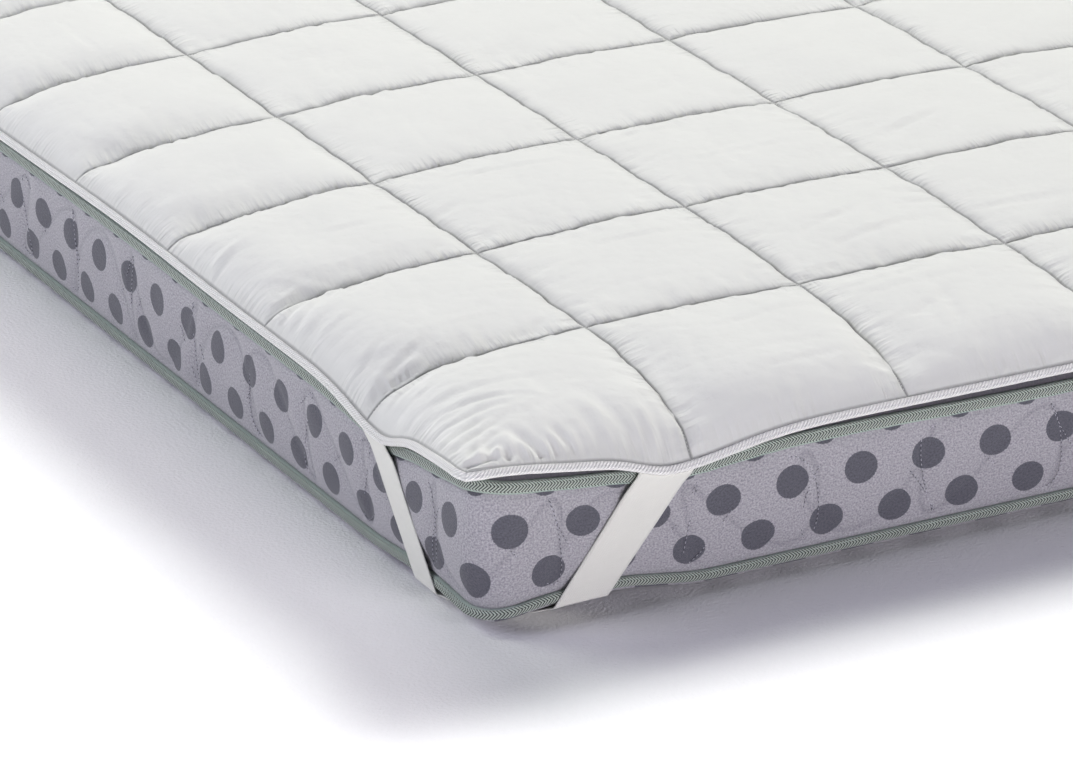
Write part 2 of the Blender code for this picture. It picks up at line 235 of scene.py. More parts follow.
@dataclass(frozen=True)
class PadShape(Plan):
    """The surfaces of the quilted pad, before any wrinkle."""

    stitched: float = 0.005
    puff_up: float = 0.0125
    puff_down: float = 0.0097
    puff_flat: float = 2.4
    puff_round: float = 0.50
    mouth_in: float = 0.0015
    corner: float = 0.016
    hang: float = 0.0355
    hang_reach: float = 0.11
    hang_power: float = 3.2
    corner_power: float = 4.0
    hem_tilt: float = math.radians(47)
    pad_dip: float = 0.0185
    pad_rise: float = 0.0225
    flare_dip: float = 0.0025
    flare_x: float = 0.0190
    flare_y: float = 0.0080
    edge_half: float = 0.0015
    sunk_at: float = 0.05
    sunk_reach: float = 0.034
    sunk_seams: float = 0.0095
    sunk_top: float = 0.0045
    sunk_fade: float = 0.13
    sunk_power: float = 1.5
    top_sunk_at: float = 0.075
    raised_seams: float = 0.0020
    raised_top: float = 0.0040

    def drawn_down(self, x: Array, y: Array) -> Pair:
        """How much lower the cotton lies than the plain pad: the whole top, and its seams.

        The straps draw the pad down over the mattress's edge. Its top lies lower there and its
        seams lower still, while both stand up a little towards the middle of the bed.
        """
        depth = np.minimum(*self.depths(x, y, self.mouth_in))
        past = np.maximum(depth - self.sunk_at, 0.0) / self.sunk_fade
        seams = self.sunk_seams * smooth(depth / self.sunk_at) * np.exp(-(past**self.sunk_power))
        seams = seams - self.raised_seams * smooth((depth - 0.25) / 0.20)
        top = self.sunk_top * bell(depth, self.top_sunk_at, self.top_sunk_at) * smooth(depth / 0.04)
        top = top - self.raised_top * smooth((depth - 0.18) / 0.30)
        near = np.zeros(depth.shape)
        for way, half in self.axes(x, y):
            _, off, inner = self.nearest_seam(way, half)
            near = np.maximum(near, inner * bell(off, 0.0, self.sunk_reach))
        return top, seams * near

    @property
    def seam_z(self) -> float:
        """Height of the quilting's seams in the middle of the bed."""
        return self.bed_top + self.gap + self.puff_down + self.stitched / 2

    def hanging(self, x: Array, y: Array) -> Array:
        """How far the stitched surface hangs below the level of its middle."""
        across, down = self.depths(x, y, self.mouth_in)
        along = np.maximum(across, down)
        most = self.hang + self.pad_dip * self.dip(along) - self.pad_rise * self.rise(along)
        most = most + self.sag(x, y, "pad")
        total = np.zeros(np.broadcast(x, y).shape)
        for depth in (across, down):
            share = np.clip(1 - depth / self.hang_reach, 0.0, 1.0)
            total = total + (most * share**self.hang_power) ** self.corner_power
        return total ** (1 / self.corner_power)

    def off_middle(self, way: Array, half: float) -> Array:
        """0 in the middle of a cell along one axis, 1 on its seams and on the mouth."""
        share = np.mod((way + half) / self.cell, 1.0)
        outer = (half - self.mouth_in - np.abs(way)) / (self.cell - self.mouth_in)
        share = np.where(np.abs(way) > half - self.cell, outer, share)
        return np.minimum(np.abs(2 * share - 1), 1.0)

    def puff(self, x: Array, y: Array) -> Array:
        """The quilting's crown: 0 on every seam and on the mouth, 1 in a cell's middle."""
        crown = np.ones(np.broadcast(x, y).shape)
        for way, half in self.axes(x, y):
            part = 1 - self.off_middle(way, half) ** self.puff_flat
            crown = crown * np.maximum(part, 0.0) ** self.puff_round
        return crown

    def in_plan(self, x: Array, y: Array) -> Pair:
        """Where places of the flat pad lie in plan, with its round corners and flare."""
        across, down = self.depths(x, y, self.mouth_in)
        side_x, side_y = np.copysign(1.0, x), np.copysign(1.0, y)
        out_x, out_y = self.corner - across, self.corner - down
        round_off = (out_x > 0) & (out_y > 0)
        length = np.where(round_off, np.hypot(out_x, out_y), 1.0)
        pull = np.where(round_off, np.maximum(out_x, out_y) / length, 1.0)
        flat_x = x + side_x * np.where(round_off, out_x, 0.0) * (pull - 1)
        flat_y = y + side_y * np.where(round_off, out_y, 0.0) * (pull - 1)
        pulled, corner = self.dip(np.maximum(across, down)), self.rise(np.maximum(across, down))
        flare_x = (self.flare_dip * pulled + self.flare_x * corner) * bell(across, 0.0, self.fade)
        flare_y = (self.flare_dip * pulled + self.flare_y * corner) * bell(down, 0.0, self.fade)
        return flat_x + side_x * flare_x, flat_y + side_y * flare_y

    def off_mouth(self, x: Array, y: Array, reach: float) -> Array:
        """0 at the mouth, 1 from reach on."""
        return smooth(np.minimum(*self.depths(x, y, self.mouth_in)) / reach)

    def inside(self, x: Array, y: Array) -> Array:
        """0 at the mouth, 1 where the pad lies flat on the mattress."""
        return self.off_mouth(x, y, self.hang_reach)

    def upper(self, x: Array, y: Array, crown: Array) -> Array:
        """Points of the upper face that stand crown above the stitched surface."""
        half = self.edge_half + (self.stitched / 2 - self.edge_half) * self.inside(x, y)
        top, seams = self.drawn_down(x, y)
        height = self.seam_z - self.hanging(x, y) + half + crown - top - seams
        return np.stack([*self.in_plan(x, y), height], axis=-1)

    def lower(self, x: Array, y: Array) -> Array:
        """Points of the underside, whose crowns fade out towards the hanging edge."""
        inside = self.inside(x, y)
        half = self.edge_half + (self.stitched / 2 - self.edge_half) * inside
        down = self.puff_down * inside * smooth(3 * self.puff(x, y))
        down = np.maximum(down, self.drawn_down(x, y)[1])
        height = self.seam_z - self.hanging(x, y) - half - down
        return np.stack([*self.in_plan(x, y), height], axis=-1)

    def hem(self, x: Array, y: Array) -> Hem:
        """The pad's edge at places on its mouth."""
        across, down = self.depths(x, y, self.mouth_in)
        turning = (across < self.corner) & (down < self.corner)
        out_x = np.where(turning, self.corner - across, across < down)
        out_y = np.where(turning, self.corner - down, across >= down)
        zero = np.zeros_like(out_x)
        out = unit(np.stack([np.copysign(out_x, x), np.copysign(out_y, y), zero], axis=-1))
        up = np.array([0.0, 0.0, 1.0])
        height = self.seam_z - self.hanging(x, y)
        return Hem(
            mouth=np.stack([*self.in_plan(x, y), height], axis=-1),
            along=out * math.cos(self.hem_tilt) - up * math.sin(self.hem_tilt),
            normal=out * math.sin(self.hem_tilt) + up * math.cos(self.hem_tilt),
        )


@dataclass(frozen=True)
class BedShape(Plan):
    """The surfaces of the mattress, before its quilting."""

    top_tape: float = 0.1395
    low_tape: float = 0.0110
    tape_high: float = 0.0140
    face_in: float = 0.003
    corner: float = 0.044
    belly: float = 0.0030
    neck: float = 0.0045
    bed_dip: float = 0.0095
    bed_rise: float = 0.0135
    under_reach: float = 0.14
    lift: float = 0.0130
    lift_long: float = 0.0065
    lift_turn: float = 0.16
    lift_full: float = 0.14
    lift_none: float = 0.26
    droop: float = 0.0075
    droop_reach: float = 0.065
    crown_reach: float = 0.120

    def raised(self, x: Array, y: Array) -> Array:
        """How far the mattress's upper edge stands up at (x, y)."""
        along = np.maximum(*self.depths(x, y, self.face_in))
        upper = self.bed_rise * self.rise(along) - self.bed_dip * self.dip(along)
        return upper - self.sag(x, y, "bed")

    def lifted(self, across: Array, down: Array) -> Array:
        """How far the lower edge is pulled up, for depths in from two faces."""
        along = np.maximum(across, down)
        turn = smooth(0.5 + (down - across) / self.lift_turn)
        most = self.lift + (self.lift_long - self.lift) * turn
        away = smooth((along - self.lift_full) / (self.lift_none - self.lift_full))
        return most * (1 - away) - self.droop * bell(along, 0.0, self.droop_reach)

    def low_edge(self, x: Array, y: Array) -> Array:
        """Height of the lower edge of the low tape at (x, y)."""
        return self.low_tape + self.lifted(*self.depths(x, y, self.face_in))

    def top_edge(self, x: Array, y: Array) -> Array:
        """Height of the lower edge of the top tape at (x, y)."""
        return self.top_tape + self.raised(x, y)

    def underside(self, across: Array, down: Array) -> Array:
        """Height of the underside, for depths in from two faces."""
        depth = np.clip(np.minimum(across, down), 0.0, self.under_reach)
        height = self.low_tape + self.lifted(across, down)
        return height * (1 - depth / self.under_reach) ** 2

    def outline(self, depth: float, step: float, turns: int) -> Pair:
        """The mattress's outline in plan.

        Args:
            depth: How far in from the face it runs.
            step: About how far apart its points are along the straight sides.
            turns: How many steps each round corner has.

        Returns:
            The points, and how far along the face each one lies. The first is the middle of
            the far side, and the last is that point again.
        """
        radius = max(self.corner - depth, self.corner / 3)
        points, ways, way_on = [], [], 0.0
        for turn in (1, 2, 3, 4, 5):
            angle = turn * math.pi / 2
            out = np.array([math.cos(angle), math.sin(angle)])
            along = np.array([-out[1], out[0]])
            reach, run = (self.half_x, self.half_y) if turn % 2 == 0 else (self.half_y, self.half_x)
            reach, run = reach - self.face_in, run - self.face_in - self.corner
            straight = run + self.corner - depth - radius
            count = 2 * round(run / step)
            shares = np.linspace(-1, 1, count + 1)
            if turn == 1:
                shares = shares[count // 2 :]
            if turn == 5:
                shares = shares[: count // 2 + 1]
            side = out * (reach - depth) + np.outer(shares, along) * straight
            points.append(side if turn == 5 else side[:-1])
            ways.append(way_on + (shares if turn == 5 else shares[:-1]) * run)
            if turn == 5:
                break
            way_on += run
            bends = np.linspace(0, math.pi / 2, turns + 1)[:-1]
            arm = np.outer(np.cos(bends), out) + np.outer(np.sin(bends), along)
            points.append(out * (reach - depth - radius) + along * straight + arm * radius)
            ways.append(way_on + bends * self.corner)
            next_run = self.half_y if turn % 2 else self.half_x
            way_on += self.corner * math.pi / 2 + next_run - self.face_in - self.corner
        return np.concatenate(points), np.concatenate(ways)


class Lattice:
    """Sheets of quads made with the grid operator, each corner with its own UV in metres."""

    def __init__(self) -> None:
        """Starts an empty mesh with one UV map."""
        self.bm = bmesh.new()
        self.uv = self.bm.loops.layers.uv.new("cloth")
        # Nearness to sewn lines; the knit's material reads it for painted shade.
        self.sewn = self.bm.loops.layers.uv.new("sewn")

    def add(self, points: Array, flat: Array, sewn: Array | None = None) -> Verts:
        """Adds one sheet.

        Args:
            points: Places, as columns by rows by three.
            flat: Where each place lies on the flat cloth, as columns by rows by two.
            sewn: 1 on sewn lines and 0 away from them, as columns by rows.

        Returns:
            The sheet's vertices.
        """
        columns, rows = points.shape[0] - 1, points.shape[1] - 1
        made = bmesh.ops.create_grid(self.bm, x_segments=columns, y_segments=rows, size=1.0)
        verts = made["verts"]
        spots = {}
        for vert in verts:
            spot = round((vert.co.x + 1) / 2 * columns), round((vert.co.y + 1) / 2 * rows)
            spots[vert] = spot
            vert.co = points[spot]
        for face in {face for vert in verts for face in vert.link_faces}:
            for loop in face.loops:
                loop[self.uv].uv = flat[spots[loop.vert]]
                if sewn is not None:
                    loop[self.sewn].uv = (sewn[spots[loop.vert]], 0.0)
        return verts

    def weld(self) -> None:
        """Joins points that were put in one place."""
        bmesh.ops.remove_doubles(self.bm, verts=self.bm.verts, dist=2e-6)

    def finish(self, name: str, material: Material) -> Piece:
        """Makes a smooth-shaded piece of the mesh, with its faces pointing out."""
        bmesh.ops.recalc_face_normals(self.bm, faces=self.bm.faces)
        mesh = bpy.data.meshes.new(name)
        self.bm.to_mesh(mesh)
        self.bm.free()
        mesh.shade_smooth()
        mesh.materials.append(material)
        return put_in_scene(name, mesh)


def points_of(mesh: bpy.types.Mesh) -> Array:
    """A mesh's points."""
    points = np.empty(len(mesh.vertices) * 3, np.float32)
    mesh.vertices.foreach_get("co", points)
    return points.reshape(-1, 3).astype(float)


def settle(piece: Piece, slot: str, *nodes: str) -> Piece:
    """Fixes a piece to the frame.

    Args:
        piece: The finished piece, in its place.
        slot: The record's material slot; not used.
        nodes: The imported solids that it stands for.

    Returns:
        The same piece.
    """
    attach(piece, BODY)
    if nodes:
        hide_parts(*nodes)
    log.info("%s: %d faces", piece.name, len(piece.data.polygons))
    return piece


def swept(
    section: Array, stations: Callable[[float, float], Array], way: Array, edge: int = 0
) -> Lattice:
    """Sweeps a closed section along a line.

    Args:
        section: The section's points, as rows of two measures.
        stations: Gives the places along the line for one section point's two measures.
        way: How far along the line each place lies.
        edge: The section point that the flat tape's widths are counted from.

    Returns:
        The tape's mesh.
    """
    rows = [stations(first, second) for first, second in section]
    girth = run_length(np.vstack([section, section[:1]]))
    cloth = Lattice()
    cloth.add(np.stack([*rows, rows[0]], axis=1), flat_grid(way, girth - girth[edge]))
    cloth.weld()
    return cloth


@dataclass(frozen=True)
class Thread:
    """Stitches of one kind of thread, made as copies of one small bead of it."""

    pitch: float = 0.0042
    length: float = 0.0031
    thickness: float = 0.0009
    shift: float = 0.0

    def places(self, line: Array, normal: Array) -> Array:
        """Where the stitches along one line go.

        Args:
            line: The points of the line that is sewn.
            normal: The cloth's normal at each of them.

        Returns:
            Rows of three vectors: a stitch's middle, its direction and the cloth's normal.
        """
        way = run_length(line)
        count = max(int(way[-1] / self.pitch), 1)
        at = (np.arange(count) + 0.5 + self.shift) * way[-1] / count

        def read(values: Array, spots: Array) -> Array:
            """The values at these ways along the line."""
            return np.stack([np.interp(spots, way, column) for column in values.T], axis=1)

        middle = read(line, at)
        ahead = unit(read(line, at + 0.001) - read(line, at - 0.001))
        return np.stack([middle, ahead, unit(read(normal, at))], axis=1)

    def sew(self, name: str, places: Sequence[Array], material: Material) -> Piece:
        """Makes one joined piece of all the stitches.

        Args:
            name: The piece's name.
            places: The stitches' places, a set for each line.
            material: The thread.

        Returns:
            The finished piece.
        """
        spots = np.concatenate(places)
        bm = bmesh.new()
        bmesh.ops.create_icosphere(bm, subdivisions=1, radius=0.4)
        bead = bpy.data.meshes.new(name)
        bm.to_mesh(bead)
        bm.free()
        piece = put_in_scene(name, bead)
        copies = piece.modifiers.new("copies", "ARRAY")
        copies.count = len(spots)
        copies.use_relative_offset = False
        copies.use_constant_offset = True
        copies.constant_offset_displace = (1.0, 0.0, 0.0)
        evaluated = piece.evaluated_get(bpy.context.evaluated_depsgraph_get())
        mesh = bpy.data.meshes.new_from_object(evaluated)
        piece.modifiers.remove(copies)
        piece.data = mesh
        points = points_of(mesh)
        copy = np.clip(np.round(points[:, 0]).astype(int), 0, len(spots) - 1)
        local = points - np.stack([copy, 0 * copy, 0 * copy], axis=1)
        middle, ahead, normal = spots[copy, 0], spots[copy, 1], spots[copy, 2]
        side = unit(np.cross(normal, ahead))
        local = local / 0.8 * np.array([self.length, self.thickness, self.thickness])
        placed = middle + ahead * local[:, :1] + side * local[:, 1:2] + normal * local[:, 2:]
        mesh.vertices.foreach_set("co", placed.astype(np.float32).ravel())
        mesh.update()
        mesh.shade_smooth()
        mesh.materials.append(material)
        return piece


@dataclass(frozen=True)
class Crease:
    """A soft fold in the cotton: where it starts, which way it runs and how it is shaped."""

    x: float
    y: float
    turn: float
    length: float
    width: float
    depth: float
    bend: float = 0.0

    def height(self, x: Array, y: Array) -> Array:
        """How far the fold moves each point up: a trough with a rounded ridge beside it."""
        angle = math.radians(self.turn)
        near = (np.abs(x - self.x) < self.length) & (np.abs(y - self.y) < self.length)
        total = np.zeros(x.shape)
        away_x, away_y = x[near] - self.x, y[near] - self.y
        along = away_x * math.cos(angle) + away_y * math.sin(angle)
        across = away_y * math.cos(angle) - away_x * math.sin(angle)
        share = along / self.length
        across = across - self.bend * share * share * self.length
        width = self.width * (0.45 + 0.75 * np.clip(share, 0, 1))
        trough = bell(across, 0.0, width)
        ridge = 0.55 * bell(across, 1.7 * self.width, 1.1 * width)
        ends = smooth(share * 14 + 0.4) * smooth((1 - share) * 1.8)
        total[near] = self.depth * (ridge - trough) * ends
        return total


CORNER_CREASES = (
    (-0.742, -0.803, 4, 0.070, 0.0055, 0.0014, -0.14),
    (-0.744, -0.834, -16, 0.110, 0.0075, 0.0014, -0.10),
    (-0.746, -0.863, -19, 0.140, 0.0060, 0.0021, -0.07),
    (-0.748, -0.901, -7, 0.120, 0.0064, 0.0018, 0.03),
    (-0.751, -0.934, 6, 0.095, 0.0072, 0.0019, 0.09),
    (-0.745, -0.958, 20, 0.105, 0.0058, 0.0018, 0.07),
    (-0.735, -0.977, 34, 0.060, 0.0045, 0.0024, -0.04),
    (-0.744, -0.991, 3, 0.060, 0.0042, 0.0040, 0.02),
    (-0.724, -0.990, 58, 0.034, 0.0050, 0.0038, 0.07),
    (-0.706, -0.994, 84, 0.022, 0.0040, 0.0046, 0.10),
    (-0.696, -0.995, 76, 0.038, 0.0052, 0.0026, 0.12),
    (-0.677, -0.995, 99, 0.052, 0.0062, 0.0054, 0.16),
    (-0.662, -0.995, 88, 0.020, 0.0038, 0.0030, 0.04),
    (-0.641, -0.995, 103, 0.042, 0.0058, 0.0030, 0.12),
    (-0.628, -0.995, 84, 0.034, 0.0048, 0.0018, 0.05),
    (-0.607, -0.996, 98, 0.060, 0.0085, 0.0020, -0.05),
    (-0.585, -0.996, 106, 0.050, 0.0050, 0.0014, 0.06),
    (-0.571, -0.996, 100, 0.105, 0.0100, 0.0030, 0.05),
    (-0.553, -0.996, 93, 0.048, 0.0046, 0.0018, -0.04),
    (-0.536, -0.996, 87, 0.085, 0.0085, 0.0024, -0.06),
    (-0.517, -0.996, 80, 0.042, 0.0044, 0.0016, -0.05),
    (-0.744, -0.744, 2, 0.080, 0.0060, 0.0040, -0.02),
    (-0.744, -0.494, 2, 0.060, 0.0050, 0.0026, -0.02),
    (-0.742, -0.780, 16, 0.070, 0.0044, 0.0022, 0.08),
    (-0.741, -0.741, 24, 0.120, 0.0062, 0.0022, -0.06),
    (-0.742, -0.706, 32, 0.080, 0.0045, 0.0018, 0.05),
    (-0.742, -0.610, 12, 0.070, 0.0048, 0.0018, 0.05),
    (-0.742, -0.560, 34, 0.170, 0.0075, 0.0020, -0.14),
    (-0.742, -0.528, 20, 0.080, 0.0048, 0.0020, 0.05),
)


@dataclass(frozen=True)
class WrinkleBox:
    """Cloth squares, pinned round their borders and blown up, whose wrinkles the pad borrows."""

    squares: int = 6
    quads: int = 44
    spacing: float = 0.3
    slack: float = 0.024
    bending: float = 0.02
    pressure: float = 3.5
    frames: int = 24
    limit: float = 0.0030
    start_high: float = 0.006
    start_rough: float = 0.0006

    def wrinkles(self, cell: float) -> Array:
        """Runs the simulation.

        Args:
            cell: The side of one square, in metres.

        Returns:
            Heights over each square's own smooth crown, as squares by points by points.
        """
        points = self.quads + 1
        piece = self.laid_out(cell)
        start = points_of(piece.data)
        self.blow_up(piece)
        evaluated = piece.evaluated_get(bpy.context.evaluated_depsgraph_get())
        blown = points_of(evaluated.data)
        bpy.data.objects.remove(piece)
        kind = np.round(start[:, 0] / self.spacing).astype(int)
        column = np.round(((start[:, 0] - kind * self.spacing) / cell + 0.5) * self.quads)
        row = np.round((start[:, 1] / cell + 0.5) * self.quads)
        heights = np.zeros((self.squares, points, points))
        heights[kind, column.astype(int), row.astype(int)] = blown[:, 2]
        even = heights.mean(axis=0)
        even = (even + even.T + even[::-1] + even[:, ::-1] + even[::-1, ::-1]) / 5
        even = (even + even.T) / 2
        rest = heights - even
        rest = rest - self.blurred(rest, 7)
        rest = 0.25 * rest + 0.75 * self.blurred(rest, 1)
        return self.limit * np.tanh(rest / self.limit)

    @staticmethod
    def blurred(heights: Array, times: int) -> Array:
        """The squares' heights, smoothed times over."""
        for _ in range(times):
            wide = np.pad(heights, ((0, 0), (1, 1), (1, 1)), mode="edge")
            heights = (
                wide[:, 1:-1, 1:-1] * 4
                + (wide[:, :-2, 1:-1] + wide[:, 2:, 1:-1]) * 2
                + (wide[:, 1:-1, :-2] + wide[:, 1:-1, 2:]) * 2
                + wide[:, :-2, :-2] + wide[:, 2:, 2:] + wide[:, :-2, 2:] + wide[:, 2:, :-2]
            ) / 16
        return heights

    def laid_out(self, cell: float) -> Piece:
        """The flat squares in a row, slightly raised and roughened, with pinned borders."""
        bm = bmesh.new()
        for kind in range(self.squares):
            counts = {"x_segments": self.quads, "y_segments": self.quads}
            made = bmesh.ops.create_grid(bm, size=cell / 2, **counts)
            bmesh.ops.translate(bm, verts=made["verts"], vec=(kind * self.spacing, 0, 0))
        mesh = bpy.data.meshes.new("wrinkle_box")
        bm.to_mesh(mesh)
        bm.free()
        points = points_of(mesh)
        x = points[:, 0] - np.round(points[:, 0] / self.spacing) * self.spacing
        share_x, share_y = np.abs(x) / (cell / 2), np.abs(points[:, 1]) / (cell / 2)
        border = np.maximum(share_x, share_y) > 0.999
        rough = np.random.default_rng(7).normal(0, self.start_rough, len(points))
        crown = (1 - np.clip(share_x, 0, 1) ** 3) * (1 - np.clip(share_y, 0, 1) ** 3)
        points[:, 2] = self.start_high * crown + np.where(border, 0.0, rough)
        mesh.vertices.foreach_set("co", points.astype(np.float32).ravel())
        piece = put_in_scene("wrinkle_box", mesh)
        pins = piece.vertex_groups.new(name="pinned")
        pins.add([int(spot) for spot in np.nonzero(border)[0]], 1.0, "REPLACE")
        return piece

    def blow_up(self, piece: Piece) -> None:
        """Steps the squares through their frames, with air pushing them up."""
        cloth = piece.modifiers.new("cloth", "CLOTH")
        settings = cloth.settings
        settings.quality, settings.mass, settings.air_damping = 6, 0.15, 2
        settings.tension_stiffness = settings.compression_stiffness = 30
        settings.tension_damping = settings.compression_damping = 10
        settings.shear_stiffness = 8
        settings.bending_model, settings.bending_stiffness = "ANGULAR", self.bending
        settings.vertex_group_mass = "pinned"
        settings.shrink_min = -self.slack
        settings.use_pressure, settings.uniform_pressure_force = True, self.pressure
        settings.effector_weights.gravity = 0
        cloth.collision_settings.use_collision = False
        cloth.collision_settings.use_self_collision = False
        cloth.point_cache.frame_start, cloth.point_cache.frame_end = 1, self.frames
        for step in range(1, self.frames + 1):
            bpy.context.scene.frame_set(step)


@dataclass
class QuiltPad:
    """The topper itself: two cotton faces and their filling, sewn together in squares."""

    shape: PadShape = field(default_factory=PadShape)
    wrinkle_box: WrinkleBox = field(default_factory=WrinkleBox)
    fine_steps: tuple[float, ...] = (0.0, 0.0011, 0.0026, 0.0046, 0.0074)
    near_quads: int = 23
    near_cells: int = 3
    edge_quad: float = 0.0027
    coarse_steps: tuple[float, ...] = (0.0, 0.0016, 0.0042, 0.0085)
    far_quads: int = 9
    under_steps: tuple[float, ...] = (0.0, 0.02, 0.045, 0.08)
    under_quads: int = 2
    rim: tuple[tuple[float, float], ...] = ((0.0, 1.0), (0.0078, 1.0), (0.0078, -1.0), (0.0, -1.0))
    seam_wander: float = 0.0014
    wander_length: float = 0.085
    wander_reach: float = 0.035
    drift: float = 0.012
    drift_from: float = 0.20
    gather: float = 0.0022
    gather_reach: float = 0.032
    pucker: float = 0.0015
    pucker_reach: float = 0.030
    pucker_fine: float = 0.0135
    pucker_broad: float = 0.031
    pucker_patch: float = 0.13
    loose: float = 0.0011
    loose_length: float = 0.16
    flat_by_seam: float = 0.010
    groove: float = 0.0015
    groove_reach: float = 0.0024
    corner_creases: tuple[tuple[float, ...], ...] = CORNER_CREASES
    creases_a_cell: int = 4

    @property
    def edge_steps(self) -> Array:
        """Lines of the outermost half cell, close together where the cloth is gathered."""
        start, end = self.fine_steps[-1] + self.edge_quad, self.shape.cell / 2 - 0.003
        return np.concatenate([self.fine_steps, np.arange(start, end, self.edge_quad)])

    def half_cell(self, steps: tuple[float, ...], quads: int) -> Array:
        """Lines of half a cell from its seam to its middle, close together at the seam."""
        middle = np.linspace(steps[-1], self.shape.cell / 2, quads + 1)[1:]
        return np.concatenate([steps, middle])

    def lines(self, half: float, cells: int) -> Array:
        """The upper face's lines along one axis, from one mouth to the other.

        Args:
            half: Half the bed's reach along the axis.
            cells: How many cells lie along it.

        Returns:
            The lines' places, closest together in the cells at the low end.
        """
        lines = []
        for cell in range(cells):
            fine = cell < self.near_cells
            steps = self.fine_steps if fine else self.coarse_steps
            part = self.half_cell(steps, self.near_quads if fine else self.far_quads)
            start = -half + cell * self.shape.cell
            first = self.edge_steps if cell == 0 else part[:-1]
            lines += list(start + first) + list(start + self.shape.cell - part[:0:-1])
        lines = np.array(sorted(lines + [half]))
        ends = half - self.shape.mouth_in
        lines[0], lines[-1] = -ends, ends
        return lines[(np.abs(lines) < ends - 0.0005) | (np.abs(lines) > ends - 1e-9)]

    def all_lines(self) -> Pair:
        """The upper face's lines across X and across Y."""
        shape = self.shape
        return self.lines(shape.half_x, shape.cells_x), self.lines(shape.half_y, shape.cells_y)

    def under_lines(self, half: float, cells: int) -> Array:
        """The underside's lines along one axis, from one mouth to the other."""
        part = self.half_cell(self.under_steps, self.under_quads)
        starts = -half + np.arange(cells)[:, None] * self.shape.cell
        lines = np.concatenate([starts + part[:-1], starts + self.shape.cell - part[1:]], axis=1)
        lines = np.unique(np.round(np.append(lines.ravel(), half), 6))
        ends = half - self.shape.mouth_in
        lines[0], lines[-1] = -ends, ends
        return lines

    def puckers(self, x: Array, y: Array) -> Array:
        """Short waves across every seam and across the bound edge, which fade inwards."""
        shape = self.shape
        total = np.zeros(x.shape)
        for turn, (way, along, half) in enumerate(((x, y, shape.half_x), (y, x, shape.half_y))):
            near, off, inner = shape.nearest_seam(way, half)
            lane = 2 * near + (off > 0) + 40 * turn
            reach = np.where(inner, self.pucker_reach, self.gather_reach)
            most = np.where(inner, self.pucker, self.gather)
            from_mouth = np.maximum(half - shape.mouth_in - np.abs(way), 0)
            off = np.where(inner, np.abs(off), from_mouth)
            patchy = 0.55 + 0.6 * ripple(along, lane, self.pucker_patch, seed=5.1)
            fine = ripple(along + 0.12 * off, lane, self.pucker_fine, seed=1.7)
            broad = ripple(along - 0.25 * off, lane, self.pucker_broad, seed=2.9)
            waves = 0.5 * fine * bell(off, 0.0, 0.6 * reach)
            waves = waves + 0.8 * broad * bell(off, 0.0, 1.3 * reach)
            rising = 1 - np.exp(-off / 0.0035)
            total = total + most * np.clip(patchy, 0.1, 1.3) * rising * waves
        return total

    def borrowed(self, x: Array, y: Array, squares: Array) -> Array:
        """The simulated squares' wrinkles, another square and another turn for each cell.

        Args:
            x: Places along X on the flat pad.
            y: Places along Y.
            squares: The squares' heights.

        Returns:
            The wrinkles' heights at the places.
        """
        shape = self.shape
        cells_x, cells_y = ((way + half) / shape.cell for way, half in shape.axes(x, y))
        column = np.clip(np.floor(cells_x), 0, shape.cells_x - 1)
        row = np.clip(np.floor(cells_y), 0, shape.cells_y - 1)
        number = column + shape.cells_x * row
        kind = ((number * 5 + row * 3 + 2) % len(squares)).astype(int)
        share_x, share_y = np.clip(cells_x - column, 0, 1), np.clip(cells_y - row, 0, 1)
        share_x = np.where(scatter(number, 0.3) > 0.5, 1 - share_x, share_x)
        share_y = np.where(scatter(number, 0.8) > 0.5, 1 - share_y, share_y)
        swap = scatter(number, 1.9) > 0.5
        share_x, share_y = np.where(swap, share_y, share_x), np.where(swap, share_x, share_y)
        last = squares.shape[1] - 1
        at_x, at_y = share_x * last, share_y * last
        low_x = np.minimum(at_x.astype(int), last - 1)
        low_y = np.minimum(at_y.astype(int), last - 1)
        way_x, way_y = smooth(at_x - low_x), smooth(at_y - low_y)
        near, far = (
            squares[kind, low_x, row] * (1 - way_x) + squares[kind, low_x + 1, row] * way_x
            for row in (low_y, low_y + 1)
        )
        return near * (1 - way_y) + far * way_y

    def crown(self, x: Array, y: Array, squares: Array) -> Array:
        """How far the upper face stands above the stitched surface at places on the flat pad."""
        shape = self.shape
        puff = shape.puff(x, y)
        column, row = (np.floor((way + half) / shape.cell) for way, half in shape.axes(x, y))
        full = shape.puff_up * (0.97 + 0.07 * scatter(column + 9 * row, 4.2))
        relief = self.borrowed(x, y, squares)
        relief = relief + self.loose * swell(x, y, self.loose_length, seed=6.0)
        for crease in self.scattered():
            relief = relief + crease.height(x, y)
        pulled = np.zeros(x.shape)
        for sizes in self.corner_creases:
            pulled = pulled + Crease(*sizes).height(-np.abs(x), -np.abs(y))
        free = self.off_seams(x, y, self.flat_by_seam)
        return full * puff + relief * free + self.puckers(x, y) + pulled * free - self.sewn(x, y)

    def off_seams(self, x: Array, y: Array, reach: float) -> Array:
        """0 on the seams and at the bound edge, 1 from reach on."""
        shape = self.shape
        share = shape.off_mouth(x, y, 0.5 * reach)
        for way, half in shape.axes(x, y):
            _, off, inner = shape.nearest_seam(way, half)
            share = share * np.where(inner, smooth(np.abs(off) / reach), 1.0)
        return share

    def sewn(self, x: Array, y: Array) -> Array:
        """How much deeper the thread pulls the cloth along each seam."""
        shape = self.shape
        deep = np.zeros(x.shape)
        for way, half in shape.axes(x, y):
            _, off, inner = shape.nearest_seam(way, half)
            deep = np.maximum(deep, inner * bell(off, 0.0, self.groove_reach))
        return self.groove * deep * shape.off_mouth(x, y, self.flat_by_seam)

